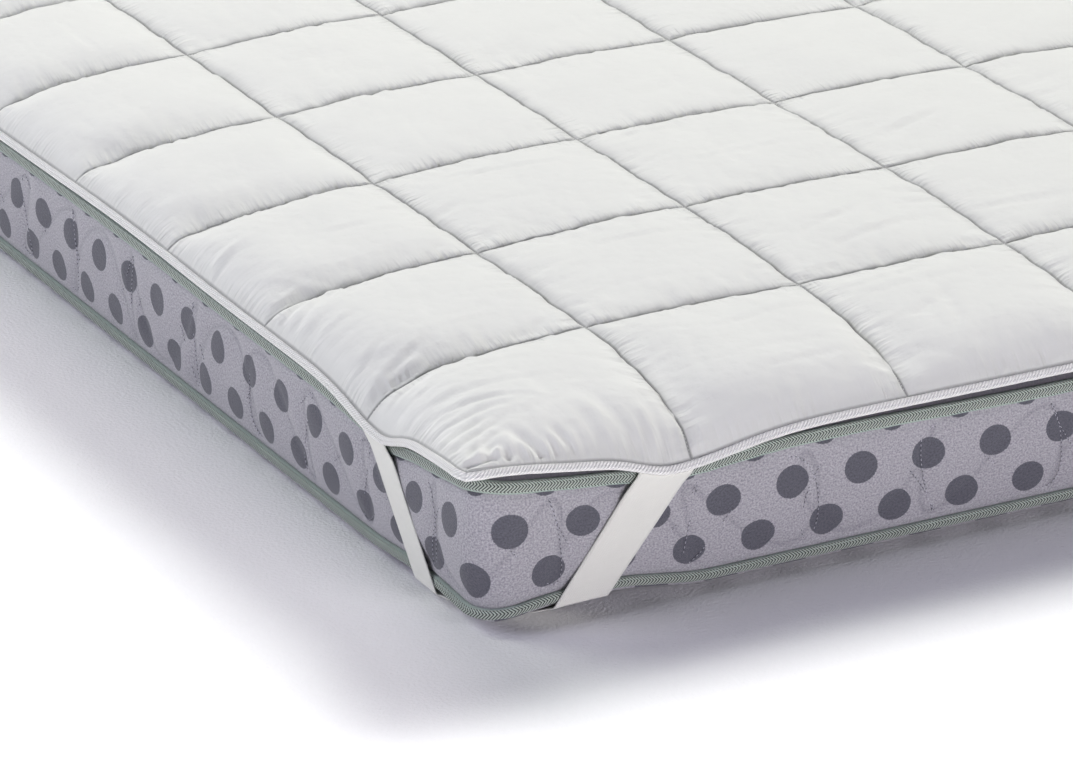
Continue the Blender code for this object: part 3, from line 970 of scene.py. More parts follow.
    def scattered(self) -> list[Crease]:
        """Soft folds that the cotton has anywhere, most of them across the bed."""
        shape, draws = self.shape, np.random.default_rng(11)
        found = []
        counts = (shape.cells_x, shape.cells_y, self.creases_a_cell)
        for column, row, number in np.ndindex(counts):
            share = draws.random(6)
            along = number < self.creases_a_cell - 1
            turn = 8 + 40 * (share[0] - 0.5) if along else 80 + 50 * (share[0] - 0.5)
            start_x = 0.02 + (0.10 if along else 0.20) * share[1]
            start_y = 0.03 + (0.19 if along else 0.06) * share[2]
            found.append(
                Crease(
                    x=-shape.half_x + column * shape.cell + start_x,
                    y=-shape.half_y + row * shape.cell + start_y,
                    turn=turn,
                    length=0.09 + 0.09 * share[3],
                    width=0.0055 + 0.0045 * share[4],
                    depth=0.0006 + 0.0010 * share[5] ** 2,
                    bend=0.24 * (share[4] - 0.5),
                )
            )
        return found

    def wander(self, x: Array, y: Array) -> Pair:
        """The same places, with the seams a little out of line."""
        shape = self.shape
        places = []
        for way, along, half, seed in ((x, y, shape.half_x, 1.0), (y, x, shape.half_y, 2.0)):
            near, off, inner = shape.nearest_seam(way, half)
            moved = self.seam_wander * ripple(along, near, self.wander_length, seed)
            if way is x:
                front = smooth((self.drift_from - (shape.half_y - np.abs(y))) / self.drift_from)
                moved = moved + self.drift * np.sign(x) * smooth(np.abs(x) / 0.1) * front
            places.append(way + moved * inner * bell(off, 0.0, self.wander_reach))
        return places[0], places[1]

    def build(self, material: Material) -> Piece:
        """Makes the pad.

        Args:
            material: The cotton.

        Returns:
            The finished piece.
        """
        shape = self.shape
        squares = self.wrinkle_box.wrinkles(shape.cell)
        lines_x, lines_y = self.all_lines()
        x, y = np.meshgrid(lines_x, lines_y, indexing="ij")
        upper = shape.upper(*self.wander(x, y), self.crown(x, y, squares))
        hem = shape.hem(*mouth_round(lines_x, lines_y))
        for side in (np.s_[:, 0], np.s_[:, -1], np.s_[0, :], np.s_[-1, :]):
            edge = shape.hem(x[side], y[side])
            upper[side] = edge.place(0.0, shape.edge_half)
        cloth = Lattice()
        under = self.underside(cloth, lines_x, lines_y)
        cloth.add(upper, np.stack([x, y], axis=-1))
        rows = [hem.place(along, side * shape.edge_half) for along, side in self.rim]
        flat = flat_grid(run_length(hem.mouth), [along for along, _ in self.rim])
        cloth.add(np.stack(rows, axis=1), flat)
        self.close(under, hem)
        cloth.weld()
        return cloth.finish("topper_quilt", material)

    def underside(self, cloth: Lattice, lines_x: Array, lines_y: Array) -> Verts:
        """Adds the underside, with a point at its rim for each line of the upper face.

        Args:
            cloth: The pad's mesh, which has nothing in it yet.
            lines_x: The upper face's lines across X.
            lines_y: Its lines across Y.

        Returns:
            The underside's vertices.
        """
        shape = self.shape
        under_x = self.under_lines(shape.half_x, shape.cells_x)
        under_y = self.under_lines(shape.half_y, shape.cells_y)
        x, y = np.meshgrid(under_x, under_y, indexing="ij")
        flat = np.stack([x, y, np.zeros_like(x)], axis=-1)
        cloth.add(flat, flat[..., :2])
        for axis, lines in enumerate((lines_x, lines_y)):
            for edge in [edge for edge in cloth.bm.edges if edge.is_boundary]:
                low, high = sorted(edge.verts, key=lambda vert: vert.co[axis])
                for way in lines:
                    start, end = low.co[axis], high.co[axis]
                    if start + 1e-6 < way < end - 1e-6:
                        edge = cloth.bm.edges.get((low, high))
                        _, low = bmesh.utils.edge_split(edge, low, (way - start) / (end - start))
        verts = list(cloth.bm.verts)
        places = np.array([vert.co[:2] for vert in verts])
        for vert, place in zip(verts, shape.lower(places[:, 0], places[:, 1])):
            vert.co = place
        return verts

    def close(self, under: Verts, hem: Hem) -> None:
        """Moves the underside's rim onto the mouth of the bound edge."""
        mouths = hem.place(0.0, -self.shape.edge_half)
        for vert in {vert for vert in under if vert.is_boundary}:
            gaps = np.hypot(mouths[:, 0] - vert.co.x, mouths[:, 1] - vert.co.y)
            vert.co = mouths[int(np.argmin(gaps))]

    def stitches(self, thread: Thread) -> list[Array]:
        """Where the quilting's stitches go, a set for each seam."""
        shape, found = self.shape, []
        halves, cells = (shape.half_x, shape.half_y), (shape.cells_x, shape.cells_y)
        for axis in (0, 1):
            reach = halves[1 - axis] - 0.004
            way = np.linspace(-reach, reach, 700)
            normal = np.tile([0.0, 0.0, 1.0], (len(way), 1))
            for seam in range(1, cells[axis]):
                across = np.full_like(way, -halves[axis] + seam * shape.cell)
                x, y = (across, way) if axis == 0 else (way, across)
                line = shape.upper(*self.wander(x, y), np.full_like(way, 0.0002 - self.groove))
                found.append(thread.places(line, normal))
        return found


def mouth_round(lines_x: Array, lines_y: Array) -> Pair:
    """Places on the mouth at every line, anticlockwise and back to the first."""
    x, y = np.meshgrid(lines_x, lines_y, indexing="ij")
    sides = (np.s_[:-1, 0], np.s_[-1, :-1], np.s_[:0:-1, -1], np.s_[0, :0:-1], np.s_[:1, 0])
    return tuple(np.concatenate([places[side] for side in sides]) for places in (x, y))


@dataclass
class EdgeBinding:
    """The woven tape folded over the pad's edge and sewn down, all round."""

    pad: QuiltPad
    outer: tuple[tuple[float, float], ...] = (
        (0.0003, 0.0018), (0.0008, 0.0024), (0.0020, 0.0028), (0.0036, 0.0028),
        (0.0048, 0.0025), (0.0055, 0.0022), (0.0062, 0.0025), (0.0073, 0.0026),
        (0.0083, 0.0021), (0.0090, 0.0011),
    )
    nose: float = 0.0093
    inner: tuple[tuple[float, float], ...] = ((0.0005, 0.0016), (0.0080, 0.0016))
    unevenness: float = 0.0004
    wave_length: float = 0.034
    sewn_at: tuple[float, float] = (0.0056, 0.0023)
    flat: tuple[float, float] = (0.021, 6.96)

    def section(self) -> Array:
        """The folded tape's closed section, from its upper edge round to itself."""
        under = [(along, -normal) for along, normal in self.outer[::-1]]
        back = [(along, -normal) for along, normal in self.inner]
        return np.array([*self.outer, (self.nose, 0.0), *under, *back, *self.inner[::-1]])

    def hem(self) -> tuple[Hem, Array]:
        """The pad's edge at the stations all round, and the way along it."""
        hem = self.pad.shape.hem(*mouth_round(*self.pad.all_lines()))
        return hem, run_length(hem.mouth)

    def build(self, material: Material) -> Piece:
        """Makes the tape.

        Args:
            material: The woven tape.

        Returns:
            The finished piece.
        """
        hem, way = self.hem()
        wave = self.unevenness * ripple(way, np.zeros(len(way)), self.wave_length, seed=8.0)
        wave = wave * inside_ends(way, 0.02)

        def station(along: float, normal: float) -> Array:
            """The places all round of one of the section's points."""
            share = max(min((along - 0.002) / 0.008, 1.0), 0.0)
            return hem.place(along, normal * (1 + 0.05 * share) + wave * share)

        return swept(self.section(), station, way).finish("edge_binding_tape", material)

    def stitches(self, thread: Thread) -> Array:
        """Where the stitches that hold the tape go."""
        hem, _ = self.hem()
        return thread.places(hem.place(*self.sewn_at), hem.normal)


@dataclass
class Mattress:
    """The mattress under the topper: quilted knit sides with a tape round each edge."""

    shape: BedShape = field(default_factory=BedShape)
    step: float = 0.0041
    turns: int = 14
    side_rows: int = 32
    top_depths: tuple[float, ...] = (0.12, 0.085, 0.06, 0.042, 0.028, 0.018, 0.0115, 0.0075, 0.0045)
    under_depths: tuple[float, ...] = (0.0045, 0.010, 0.022, 0.040, 0.065, 0.10, 0.14)
    crown_power: float = 2.3
    crown_round: float = 0.55
    belly_power: float = 2.6
    belly_round: float = 0.58
    channel: float = 0.0027
    channel_reach: float = 0.0100
    sewn_reach: float = 0.0045
    swollen: float = 0.0007
    swollen_length: float = 0.07
    meander_step: float = 0.075
    meander_swing: tuple[float, float] = (0.037, 0.046)
    lift_at: tuple[float, ...] = (0.0045, 0.012, 0.034, 0.070, 0.120)
    lift_share: tuple[float, ...] = (1.0, 0.8, 0.35, 0.10, 0.0)
    flat_top: float = 0.16
    flat_side: float = 0.125
    flat_under: float = -0.02

    def ring(self, depth: float = 0.0) -> Pair:
        """The outline at a depth, and how far along the face each of its points lies."""
        return self.shape.outline(depth, self.step, self.turns)

    def side_depth(self, share: Array) -> Array:
        """How far in the side lies before it is quilted, for shares of its height."""
        full = (1 - np.abs(2 * share - 1) ** self.belly_power) ** self.belly_round
        return self.shape.neck - (self.shape.neck + self.shape.belly) * full

    def meander(self) -> Array:
        """The line that the side's quilting follows: along the face, and up it from 0 to 1."""
        shape = self.shape
        round_all = shape.outline(0.0, 0.05, 4)[1][-1]
        turns = round(round_all / self.meander_step)
        share = np.linspace(0, 1, turns * 40 + 1)
        phase = share * turns * TAU
        slow = TAU * share
        wide, high = self.meander_swing
        along = share * round_all + wide * np.sin(phase * 0.5 + 0.6 * np.sin(9 * slow))
        rows = 0.5 + high / 0.11 * np.sin(phase * 0.5 * 1.25 + 0.9 * np.sin(7 * slow))
        return np.stack([np.mod(along, round_all), rows], axis=1)

    def build(self, material: Material) -> Piece:
        """Makes the mattress.

        Args:
            material: The knit.

        Returns:
            The finished piece.
        """
        shape = self.shape
        ring, way = self.ring()
        rows, flats, marks = [], [], []

        def add(depth: Array, height: Array, flat: Array, base: float, mark: Array = 0.0) -> None:
            """Adds a row of places, moved in from the outline at the depth of base."""
            outline = self.ring(base)[0]
            aim = (self.ring(base + 0.001)[0] - outline) / 0.001
            spots = outline + aim * (depth - base)[:, None]
            rows.append(np.column_stack([spots, height]))
            flats.append(np.column_stack([way, np.broadcast_to(flat, way.shape)]))
            marks.append(np.broadcast_to(mark, way.shape))

        top, low = shape.top_edge(*ring.T), shape.low_edge(*ring.T)
        for depth in self.top_depths:
            share = (depth - shape.neck) / (shape.crown_reach - shape.neck)
            crown = (1 - (1 - share) ** self.crown_power) ** self.crown_round
            outline = self.ring(depth)[0]
            level = shape.top_tape + shape.tape_high
            height = level + (shape.bed_top - level) * crown
            lift = shape.raised(*outline.T) * np.interp(depth, self.lift_at, self.lift_share)
            add(np.full(len(way), depth), height + lift, self.flat_top + depth, depth)
        quilted, sewn = self.relief(way)
        for number, share in enumerate(np.linspace(0, 1, self.side_rows + 1)):
            depth = self.side_depth(share) + quilted[number]
            height = top + (low + shape.tape_high - top) * share
            add(depth, height, self.flat_side * (1 - share), 0.0, sewn[number])
        for depth in self.under_depths:
            height = shape.underside(*shape.depths(*self.ring(depth)[0].T, shape.face_in))
            if depth == self.under_depths[0]:
                height = low
            add(np.full(len(way), depth), height, self.flat_under - depth, depth)
        cloth = Lattice()
        cloth.add(np.stack(rows, axis=1), np.stack(flats, axis=1), np.stack(marks, axis=1))
        cloth.weld()
        edges = [edge for edge in cloth.bm.edges if edge.is_boundary]
        for face in bmesh.ops.holes_fill(cloth.bm, edges=edges, sides=0)["faces"]:
            for loop in face.loops:
                loop[cloth.uv].uv = loop.vert.co.xy
        return cloth.finish("mattress", material)

    def relief(self, way: Array) -> Pair:
        """The quilting of the side.

        Args:
            way: How far along the face each column of places lies.

        Returns:
            How far in each place is pulled, and how near a sewn line it is, from 0 to 1. Both
            are rows between the tapes, by columns along the face.
        """
        shape = self.shape
        high = shape.top_tape - shape.low_tape - shape.tape_high
        line = self.meander() * np.array([1.0, high])
        total = way[-1]
        heights = np.linspace(0, high, self.side_rows + 1)
        nearest = np.full((len(heights), len(way)), 0.05)
        reach = 0.03
        line = line[np.argsort(line[:, 0])]
        for shift in (-total, 0.0, total):
            low = np.searchsorted(line[:, 0] + shift, way - reach)
            high_end = np.searchsorted(line[:, 0] + shift, way + reach)
            for station in np.nonzero(high_end > low)[0]:
                near = line[low[station] : high_end[station]]
                gaps_x = near[:, 0] + shift - way[station]
                gaps = np.hypot(gaps_x[None, :], near[None, :, 1] - heights[:, None])
                nearest[:, station] = np.minimum(nearest[:, station], gaps.min(axis=1))
        ends = smooth(np.minimum(heights, high - heights) / 0.012)[:, None]
        pulled = np.exp(-((nearest / self.channel_reach) ** 1.5))
        swollen = swell(way[None, :], heights[:, None], self.swollen_length, seed=9.0)
        swollen = self.swollen * swollen * inside_ends(way, 0.05)
        return ends * (self.channel * pulled - swollen), bell(nearest, 0.0, self.sewn_reach)

    def stitches(self, thread: Thread) -> list[Array]:
        """Where the side's quilting stitches go.

        Args:
            thread: The thread that sews them.

        Returns:
            A set of places for each stretch of the line between the tapes.
        """
        shape = self.shape
        (ring, way), (inner, _) = self.ring(), self.ring(0.01)
        line = self.meander()
        keep = (line[:, 1] > 0.03) & (line[:, 1] < 0.97)
        breaks = np.nonzero(~keep | (np.abs(np.diff(line[:, 0], prepend=line[0, 0])) > 0.5))[0]
        found = []
        for part in np.split(np.arange(len(line)), breaks):
            part = part[keep[part]][1:]
            if len(part) < 4:
                continue
            along, share = line[part, 0], 1 - line[part, 1]
            x, y, inner_x, inner_y = (np.interp(along, way, row) for row in (*ring.T, *inner.T))
            out = unit(np.stack([x - inner_x, y - inner_y], axis=1))
            top, low = shape.top_edge(x, y), shape.low_edge(x, y) + shape.tape_high
            depth = self.side_depth(share) + self.channel * 0.6
            height = top + (low - top) * share
            spots = np.column_stack([x - out[:, 0] * depth, y - out[:, 1] * depth, height])
            normal = np.column_stack([out, np.zeros(len(out))])
            found.append(thread.places(spots, normal))
        return found


class Edge(Enum):
    """Which edge of the mattress a tape is sewn to."""

    TOP = "top"
    LOW = "low"


@dataclass
class EdgeTape:
    """A herringbone tape sewn round one edge of the mattress, in its neck."""

    edge: Edge
    bed: Mattress
    section: tuple[tuple[float, float], ...] = (
        (0.0042, 0.0003), (0.0010, 0.0003), (-0.0008, 0.0006), (-0.0016, 0.0013),
        (-0.0014, 0.0022), (-0.0020, 0.0032), (-0.0026, 0.0048), (-0.0029, 0.0070),
        (-0.0026, 0.0092), (-0.0020, 0.0108), (-0.0014, 0.0118), (-0.0016, 0.0127),
        (-0.0008, 0.0134), (0.0010, 0.0137), (0.0042, 0.0137),
    )
    unevenness: float = 0.0003
    wave_length: float = 0.04
    sewn_at: tuple[float, float] = (0.0022, 0.0118)
    curl: float = 0.0080
    curl_from: float = 0.0062
    flat: tuple[float, float] = (0.0175, 6.90)

    def base(self, outline: Array) -> Array:
        """Heights of the tape's lower edge at the outline's points."""
        shape = self.bed.shape
        edge = shape.top_edge if self.edge is Edge.TOP else shape.low_edge
        return edge(*outline.T)

    def turned_under(self, depth: float, high: float) -> tuple[float, float]:
        """A place of the section, once the low tape's lower part has curled under."""
        if self.edge is Edge.TOP:
            return depth, high
        under = max(self.curl_from - high, 0.0) / self.curl_from
        return depth + self.curl * under**2, high + 0.0016 * under**3

    def build(self, material: Material) -> Piece:
        """Makes the tape.

        Args:
            material: The herringbone weave.

        Returns:
            The finished piece.
        """
        shape, step, turns = self.bed.shape, 2 * self.bed.step, self.bed.turns
        way = shape.outline(0.0, step, turns)[1]
        seed = 11.0 if self.edge is Edge.TOP else 12.0
        wave = self.unevenness * ripple(way, np.zeros(len(way)), self.wave_length, seed)
        wave = wave * inside_ends(way, 0.02)

        def station(depth: float, high: float) -> Array:
            """The places all round of one of the section's points."""
            depth, high = self.turned_under(depth, high)
            outline, _ = shape.outline(depth, step, turns)
            return np.column_stack([outline, self.base(outline) + high + wave * (depth < 0.0)])

        cloth = swept(np.array(self.section), station, way, edge=1)
        return cloth.finish(f"edge_tape_{self.edge.value}", material)

    def stitches(self, thread: Thread) -> list[Array]:
        """Where the two rows of stitches along the tape's edges go."""
        shape = self.bed.shape
        outline, _ = shape.outline(-0.0016, 0.01, self.bed.turns)
        inner, _ = shape.outline(0.01, 0.01, self.bed.turns)
        out = unit(np.column_stack([outline - inner, np.zeros(len(outline))]))
        rows = self.sewn_at if self.edge is Edge.TOP else self.sewn_at[1:]
        heights = [self.base(outline) + high for high in rows]
        return [thread.places(np.column_stack([outline, height]), out) for height in heights]


@dataclass
class Strap:
    """An elastic strap: down both sides of one corner and slanting across beneath it."""

    side_x: int
    side_y: int
    pad: PadShape
    bed: BedShape
    thick: float = 0.0012
    top: tuple[float, ...] = (0.176, 0.2065, 0.237)
    top_long: tuple[float, ...] = (0.203, 0.2290, 0.255)
    foot: tuple[float, ...] = (0.080, 0.1105, 0.141)
    foot_long: tuple[float, ...] = (0.098, 0.1220, 0.146)
    tuck: tuple[float, ...] = (0.0026, 0.0058, 0.0090)
    back: float = 0.0041
    out: float = 0.0012
    drops: tuple[float, ...] = (0.004, 0.040, 0.075)
    rises: tuple[float, ...] = (0.016, 0.004)
    lip: tuple[tuple[float, float], ...] = ((0.0006, 0.0002), (0.0026, 0.0014))
    under: float = 0.0026
    under_steps: int = 6
    flat: tuple[float, float] = (0.047, 0.50)
    across: int = 12
    between: int = 8
    camber: float = 0.0010

    @property
    def name(self) -> str:
        """The strap's place on the bed, in words."""
        return f"{'front' if self.side_y < 0 else 'back'}_{'left' if self.side_x < 0 else 'right'}"

    def down_side(self, top: float, foot: float, low: float) -> list[Vector]:
        """One line of the strap down the mattress's side.

        Args:
            top: How far along the side it starts, from the corner.
            foot: How far along the side it ends.
            low: The height of the mattress's low edge there.

        Returns:
            Its places: way along the side, depth in and height.
        """
        pad, bed = self.pad, self.bed
        x, y = np.array([top - pad.half_x]), np.array([pad.mouth_in - pad.half_y])
        hem = pad.hem(x, y)
        places = []
        for tucked in self.tuck:
            spot = hem.place(np.array([tucked]), np.array([-self.back]))[0]
            places.append(Vector((top, spot[1] + pad.half_y, spot[2])))
        start, tucked = bed.top_tape - bed.bed_dip, places[-1].z
        heights = [start - drop for drop in self.drops] + [low + rise for rise in self.rises]
        for height in heights:
            share = (tucked - height) / (tucked - low)
            places.append(Vector((top + (foot - top) * share, -self.out, height)))
        for inward, drop in self.lip:
            places.append(Vector((foot, inward - self.out, low - drop)))
        return places

    def line(self, number: int) -> Array:
        """One line along the whole strap: depth along X, depth along Y and height."""
        bed, foot, far_foot = self.bed, self.foot[number], self.foot_long[number]
        low = bed.low_tape + float(bed.lifted(np.array(foot), np.array(0.0)))
        far_low = bed.low_tape + float(bed.lifted(np.array(0.0), np.array(far_foot)))
        first = self.down_side(self.top[number], foot, low)
        last = self.down_side(self.top_long[number], far_foot, far_low)
        last = [Vector((place.y, place.x, place.z)) for place in last[::-1]]
        middle = []
        for step in range(1, self.under_steps):
            place = first[-1].lerp(last[0], step / self.under_steps)
            depths = np.array(place.x - bed.face_in), np.array(place.y - bed.face_in)
            place.z = float(bed.underside(*depths)) - self.under
            middle.append(place)
        return np.array([*first, *middle, *last])

    def eased(self, line: Array) -> Array:
        """The same line with more points, rounded where it turns."""
        wide = np.vstack([2 * line[0] - line[1], line, 2 * line[-1] - line[-2]])
        found = []
        for start in range(1, len(wide) - 2):
            a, b, c, d = wide[start - 1 : start + 3]
            reach = np.linalg.norm(c - b)
            leave = (c - a) / max(np.linalg.norm(c - a), 1e-9) * reach
            arrive = (d - b) / max(np.linalg.norm(d - b), 1e-9) * reach
            share = (np.arange(self.between) / self.between)[:, None]
            square, cube = share**2, share**3
            found.append(
                (2 * cube - 3 * square + 1) * b + (cube - 2 * square + share) * leave
                + (3 * square - 2 * cube) * c + (cube - square) * arrive
            )
        return np.vstack([*found, line[-1:]])

    def build(self, material: Material) -> Piece:
        """Makes the strap.

        Args:
            material: The elastic.

        Returns:
            The finished piece.
        """
        low, middle, high = (self.eased(self.line(number)) for number in range(3))
        share = np.linspace(0, 1, self.across + 1)[:, None, None]
        points = low * (1 - share) * (1 - 2 * share) + middle * 4 * share * (1 - share)
        points = points + high * share * (2 * share - 1)
        way = run_length(middle)
        ease = smooth((way - 0.03) / 0.03) * smooth((way[-1] - 0.03 - way) / 0.03)
        free = bell(way, 0.075, 0.04) + bell(way, way[-1] - 0.075, 0.04)
        bow = self.camber * (1 - (2 * share[..., 0] - 1) ** 2) * free * ease
        front = way < way[-1] / 2
        points[..., 1] -= bow * front
        points[..., 0] -= bow * ~front
        points[..., 0] = self.side_x * (self.pad.half_x - points[..., 0])
        points[..., 1] = self.side_y * (self.pad.half_y - points[..., 1])
        cloth = Lattice()
        cloth.add(points, flat_grid(share.ravel() * self.flat[0], way))
        bmesh.ops.recalc_face_normals(cloth.bm, faces=cloth.bm.faces)
        strap = cloth.finish(f"strap_{self.name}_elastic", material)
        thickness = strap.modifiers.new("thickness", "SOLIDIFY")
        thickness.thickness = self.thick
        thickness.offset = 0.0
        thickness.use_even_offset = True
        return strap


class Nodes:
    """Writes a shader tree with few words."""

    def __init__(self, tree: Tree) -> None:
        """Takes the tree that the nodes go into, and its shader if it has one."""
        self.tree = tree
        self.shader = tree.nodes.get("Principled BSDF")

    def put(self, entry: Socket, value: object) -> None:
        """Links a socket to an input, or sets the input to any other value."""
        if isinstance(value, Socket):
            self.tree.links.new(value, entry)
        else:
            entry.default_value = value

    def add(self, kind: str, values: dict | None = None, **settings: object) -> Node:
        """Adds one node.

        Args:
            kind: The node's type.
            values: What its inputs get: sockets are linked and other values are set.
            settings: The node's own settings.

        Returns:
            The node.
        """
        node = self.tree.nodes.new(kind)
        for key, value in settings.items():
            setattr(node, key, value)
        for key, value in (values or {}).items():
            self.put(node.inputs[key], value)
        return node

    def math(self, operation: str, *values: object, **settings: object) -> Socket:
        """The result of a Math node on these sockets and numbers."""
        values = dict(enumerate(values))
        return self.add("ShaderNodeMath", values, operation=operation, **settings).outputs[0]

    def split(self, place: Socket) -> list[Socket]:
        """A place's three numbers."""
        return list(self.add("ShaderNodeSeparateXYZ", {0: place}).outputs)

    def hypot(self, first: Socket, second: Socket) -> Socket:
        """The length of the long side over two square sides."""
        squares = [self.math("POWER", side, 2.0) for side in (first, second)]
        return self.math("SQRT", self.math("ADD", *squares))

    def off_nearest(self, value: Socket, step: object) -> tuple[Socket, Socket]:
        """The number of the nearest whole step, and how far past it the value is."""
        steps = self.math("DIVIDE", value, step)
        nearest = self.math("ROUND", steps)
        return nearest, self.math("MULTIPLY", self.math("SUBTRACT", steps, nearest), step)

    def noise(self, place: Socket, scale: object, detail: float, rough: float = 0.5) -> Socket:
        """Noise from 0 to 1, with scale blots to a metre and detail finer noises on them."""
        values = {"Vector": place, "Scale": scale, "Detail": detail, "Roughness": rough}
        return self.add("ShaderNodeTexNoise", values).outputs[0]

    def ramp(
        self, value: object, low: float, high: float, to: tuple[float, float] = (0.0, 1.0)
    ) -> Socket:
        """The value's share of the way from low to high, eased and spread over to."""
        values = {"Value": value, "From Min": low, "From Max": high}
        values |= {"To Min": to[0], "To Max": to[1]}
        return self.add("ShaderNodeMapRange", values, interpolation_type="SMOOTHSTEP").outputs[0]

    def mix(self, share: object, first: object, second: object) -> Socket:
        """A colour between two."""
        node = self.add("ShaderNodeMix", data_type="RGBA")
        sockets = {socket.identifier: socket for socket in node.inputs}
        for name, value in (("Factor_Float", share), ("A_Color", first), ("B_Color", second)):
            self.put(sockets[name], value)
        return next(socket for socket in node.outputs if socket.identifier == "Result_Color")

    def group(self, group: Tree, **values: object) -> Node:
        """Places a shared group."""
        return self.add("ShaderNodeGroup", values, node_tree=group)

    def colour(self, tone: Socket) -> None:
        """Gives the shader its colour."""
        self.put(self.shader.inputs["Base Color"], tone)

    def bump(self, height: Socket, deep: float, under: Socket | None = None) -> Socket:
        """Puts a relief on the shader.

        Args:
            height: The relief, from 0 to 1.
            deep: How far apart its lowest and highest places are, in metres.
            under: The normal that the relief is added to.

        Returns:
            The new normal.
        """
        values = {"Height": height, "Distance": deep, "Strength": 1.0}
        if under is not None:
            values["Normal"] = under
        normal = self.add("ShaderNodeBump", values).outputs[0]
        self.put(self.shader.inputs["Normal"], normal)
        return normal


def new_material(name: str, looks: dict[str, object]) -> tuple[Material, Nodes]:
    """Starts a material, gives its shader's inputs these values and makes its writer."""
    material = bpy.data.materials.new(name)
    material.use_nodes = True
    nodes = Nodes(material.node_tree)
    for label, value in looks.items():
        nodes.put(nodes.shader.inputs[label], value)
    return material, nodes


def new_group(
    name: str, inputs: dict[str, str], outputs: dict[str, str]
) -> tuple[Nodes, bpy.types.NodeInputs, bpy.types.NodeInputs]:
    """Starts a shared node group.

    Args:
        name: The group's name.
        inputs: Its inputs' names and kinds, such as Float or Vector.
        outputs: Its outputs' names and kinds.

    Returns:
        A writer for the group, its inputs to read from and its outputs to write to.
    """
    group = bpy.data.node_groups.new(name, "ShaderNodeTree")
    for way, sockets in (("INPUT", inputs), ("OUTPUT", outputs)):
        for label, kind in sockets.items():
            group.interface.new_socket(name=label, in_out=way, socket_type=f"NodeSocket{kind}")
    nodes = Nodes(group)
    return nodes, nodes.add("NodeGroupInput").outputs, nodes.add("NodeGroupOutput").inputs


class SharedGroups:
    """The effects that several cloths share, each built once."""

    def __init__(self) -> None:
        """Builds the groups."""
        self.weave = self.make_weave()
        self.mottle = self.make_mottle()
        self.ribs = self.make_ribs()
        self.puckers = self.make_puckers_and_shade()

    @staticmethod
    def make_weave() -> Tree:
        """Threads over and under each other: a height that follows a flat place in metres."""
        inputs = {"Place": "Vector", "Pitch": "Float"}
        nodes, source, result = new_group("plain_weave", inputs, {"Height": "Float"})
        waves = []
        for way in nodes.split(source["Place"])[:2]:
            turns = nodes.math("DIVIDE", way, source["Pitch"])
            waves.append(nodes.math("SINE", nodes.math("MULTIPLY", turns, TAU / 2)))
        over = nodes.math("MULTIPLY", *waves)
        nodes.put(result["Height"], nodes.math("MULTIPLY_ADD", over, 0.5, 0.5))
        return nodes.tree

    @staticmethod
    def make_mottle() -> Tree:
        """A colour that wanders between two, in blots of one size."""
        inputs = {"Place": "Vector", "Size": "Float", "Contrast": "Float"}
        inputs |= {"Colour": "Color", "Other": "Color"}
        nodes, source, result = new_group("mottled_colour", inputs, {"Colour": "Color"})
        scale = nodes.math("DIVIDE", 1.0, source["Size"])
        off = nodes.math("SUBTRACT", nodes.noise(source["Place"], scale, 3.0, 0.6), 0.5)
        share = nodes.math("MULTIPLY_ADD", off, source["Contrast"], 0.5, use_clamp=True)
        nodes.put(result["Colour"], nodes.mix(share, source["Colour"], source["Other"]))
        return nodes.tree

    @staticmethod
    def make_ribs() -> Tree:
        """Slanting ribs that turn back at even steps across a tape, as in herringbone."""
        inputs = {"Place": "Vector", "Pitch": "Float", "Slant": "Float", "Band": "Float"}
        nodes, source, result = new_group("slanting_ribs", inputs, {"Height": "Float"})
        along, across, _ = nodes.split(source["Place"])
        fold = nodes.math("PINGPONG", across, source["Band"])
        way = nodes.math("MULTIPLY_ADD", fold, source["Slant"], along)
        turn = nodes.math("MULTIPLY", nodes.math("DIVIDE", way, source["Pitch"]), TAU)
        height = nodes.math("MULTIPLY_ADD", nodes.math("SINE", turn), 0.5, 0.5)
        nodes.put(result["Height"], height)
        return nodes.tree

    @staticmethod
    def make_puckers_and_shade() -> Tree:
        """Fine puckers across the seams that lie a cell apart, fading away from them, and painted
        seam shade.
        """
        labels = ("Along", "Across", "Cell", "Reach", "Pitch", "Seed")
        inputs = dict.fromkeys(labels, "Float")
        outputs = {"Height": "Float", "Seam": "Float"}
        nodes, source, result = new_group("seam_puckers_and_shade", inputs, outputs)
        seam, off = nodes.off_nearest(source["Across"], source["Cell"])
        far = nodes.math("ABSOLUTE", off)
        lane = nodes.math("MULTIPLY_ADD", seam, 7.31, source["Seed"])
        lane = nodes.math("ADD", lane, nodes.math("MULTIPLY", nodes.math("SIGN", off), 2.17))
        across = nodes.math("DIVIDE", source["Along"], source["Pitch"])
        place = {0: across, 1: lane, 2: nodes.math("MULTIPLY", far, 18.0)}
        fine = nodes.noise(nodes.add("ShaderNodeCombineXYZ", place).outputs[0], 1.0, 1.5)
        place = {0: nodes.math("MULTIPLY", source["Along"], 11.0), 1: lane, 2: 4.0}
        patch = nodes.noise(nodes.add("ShaderNodeCombineXYZ", place).outputs[0], 1.0, 0.0)
        fade = nodes.math("DIVIDE", far, source["Reach"])
        fade = nodes.math("POWER", nodes.math("SUBTRACT", 1.0, fade, use_clamp=True), 1.7)
        fade = nodes.math("MULTIPLY", fade, nodes.ramp(far, 0.0, 0.003))
        fade = nodes.math("MULTIPLY", fade, nodes.ramp(patch, 0.3, 0.65, (0.2, 1.0)))
        height = nodes.math("MULTIPLY", nodes.math("SUBTRACT", fine, 0.5), fade)
        nodes.put(result["Height"], height)
        # Painted shade: dark and narrow on each seam, faint and broad beside it, where the groove
        # and the slope beside it lie in shade.
        shades = nodes.ramp(far, 0.0, 0.0034, (1.0, 0.0)), nodes.ramp(far, 0.0, 0.015, (0.2, 0.0))
        nodes.put(result["Seam"], nodes.math("MAXIMUM", *shades))
        return nodes.tree


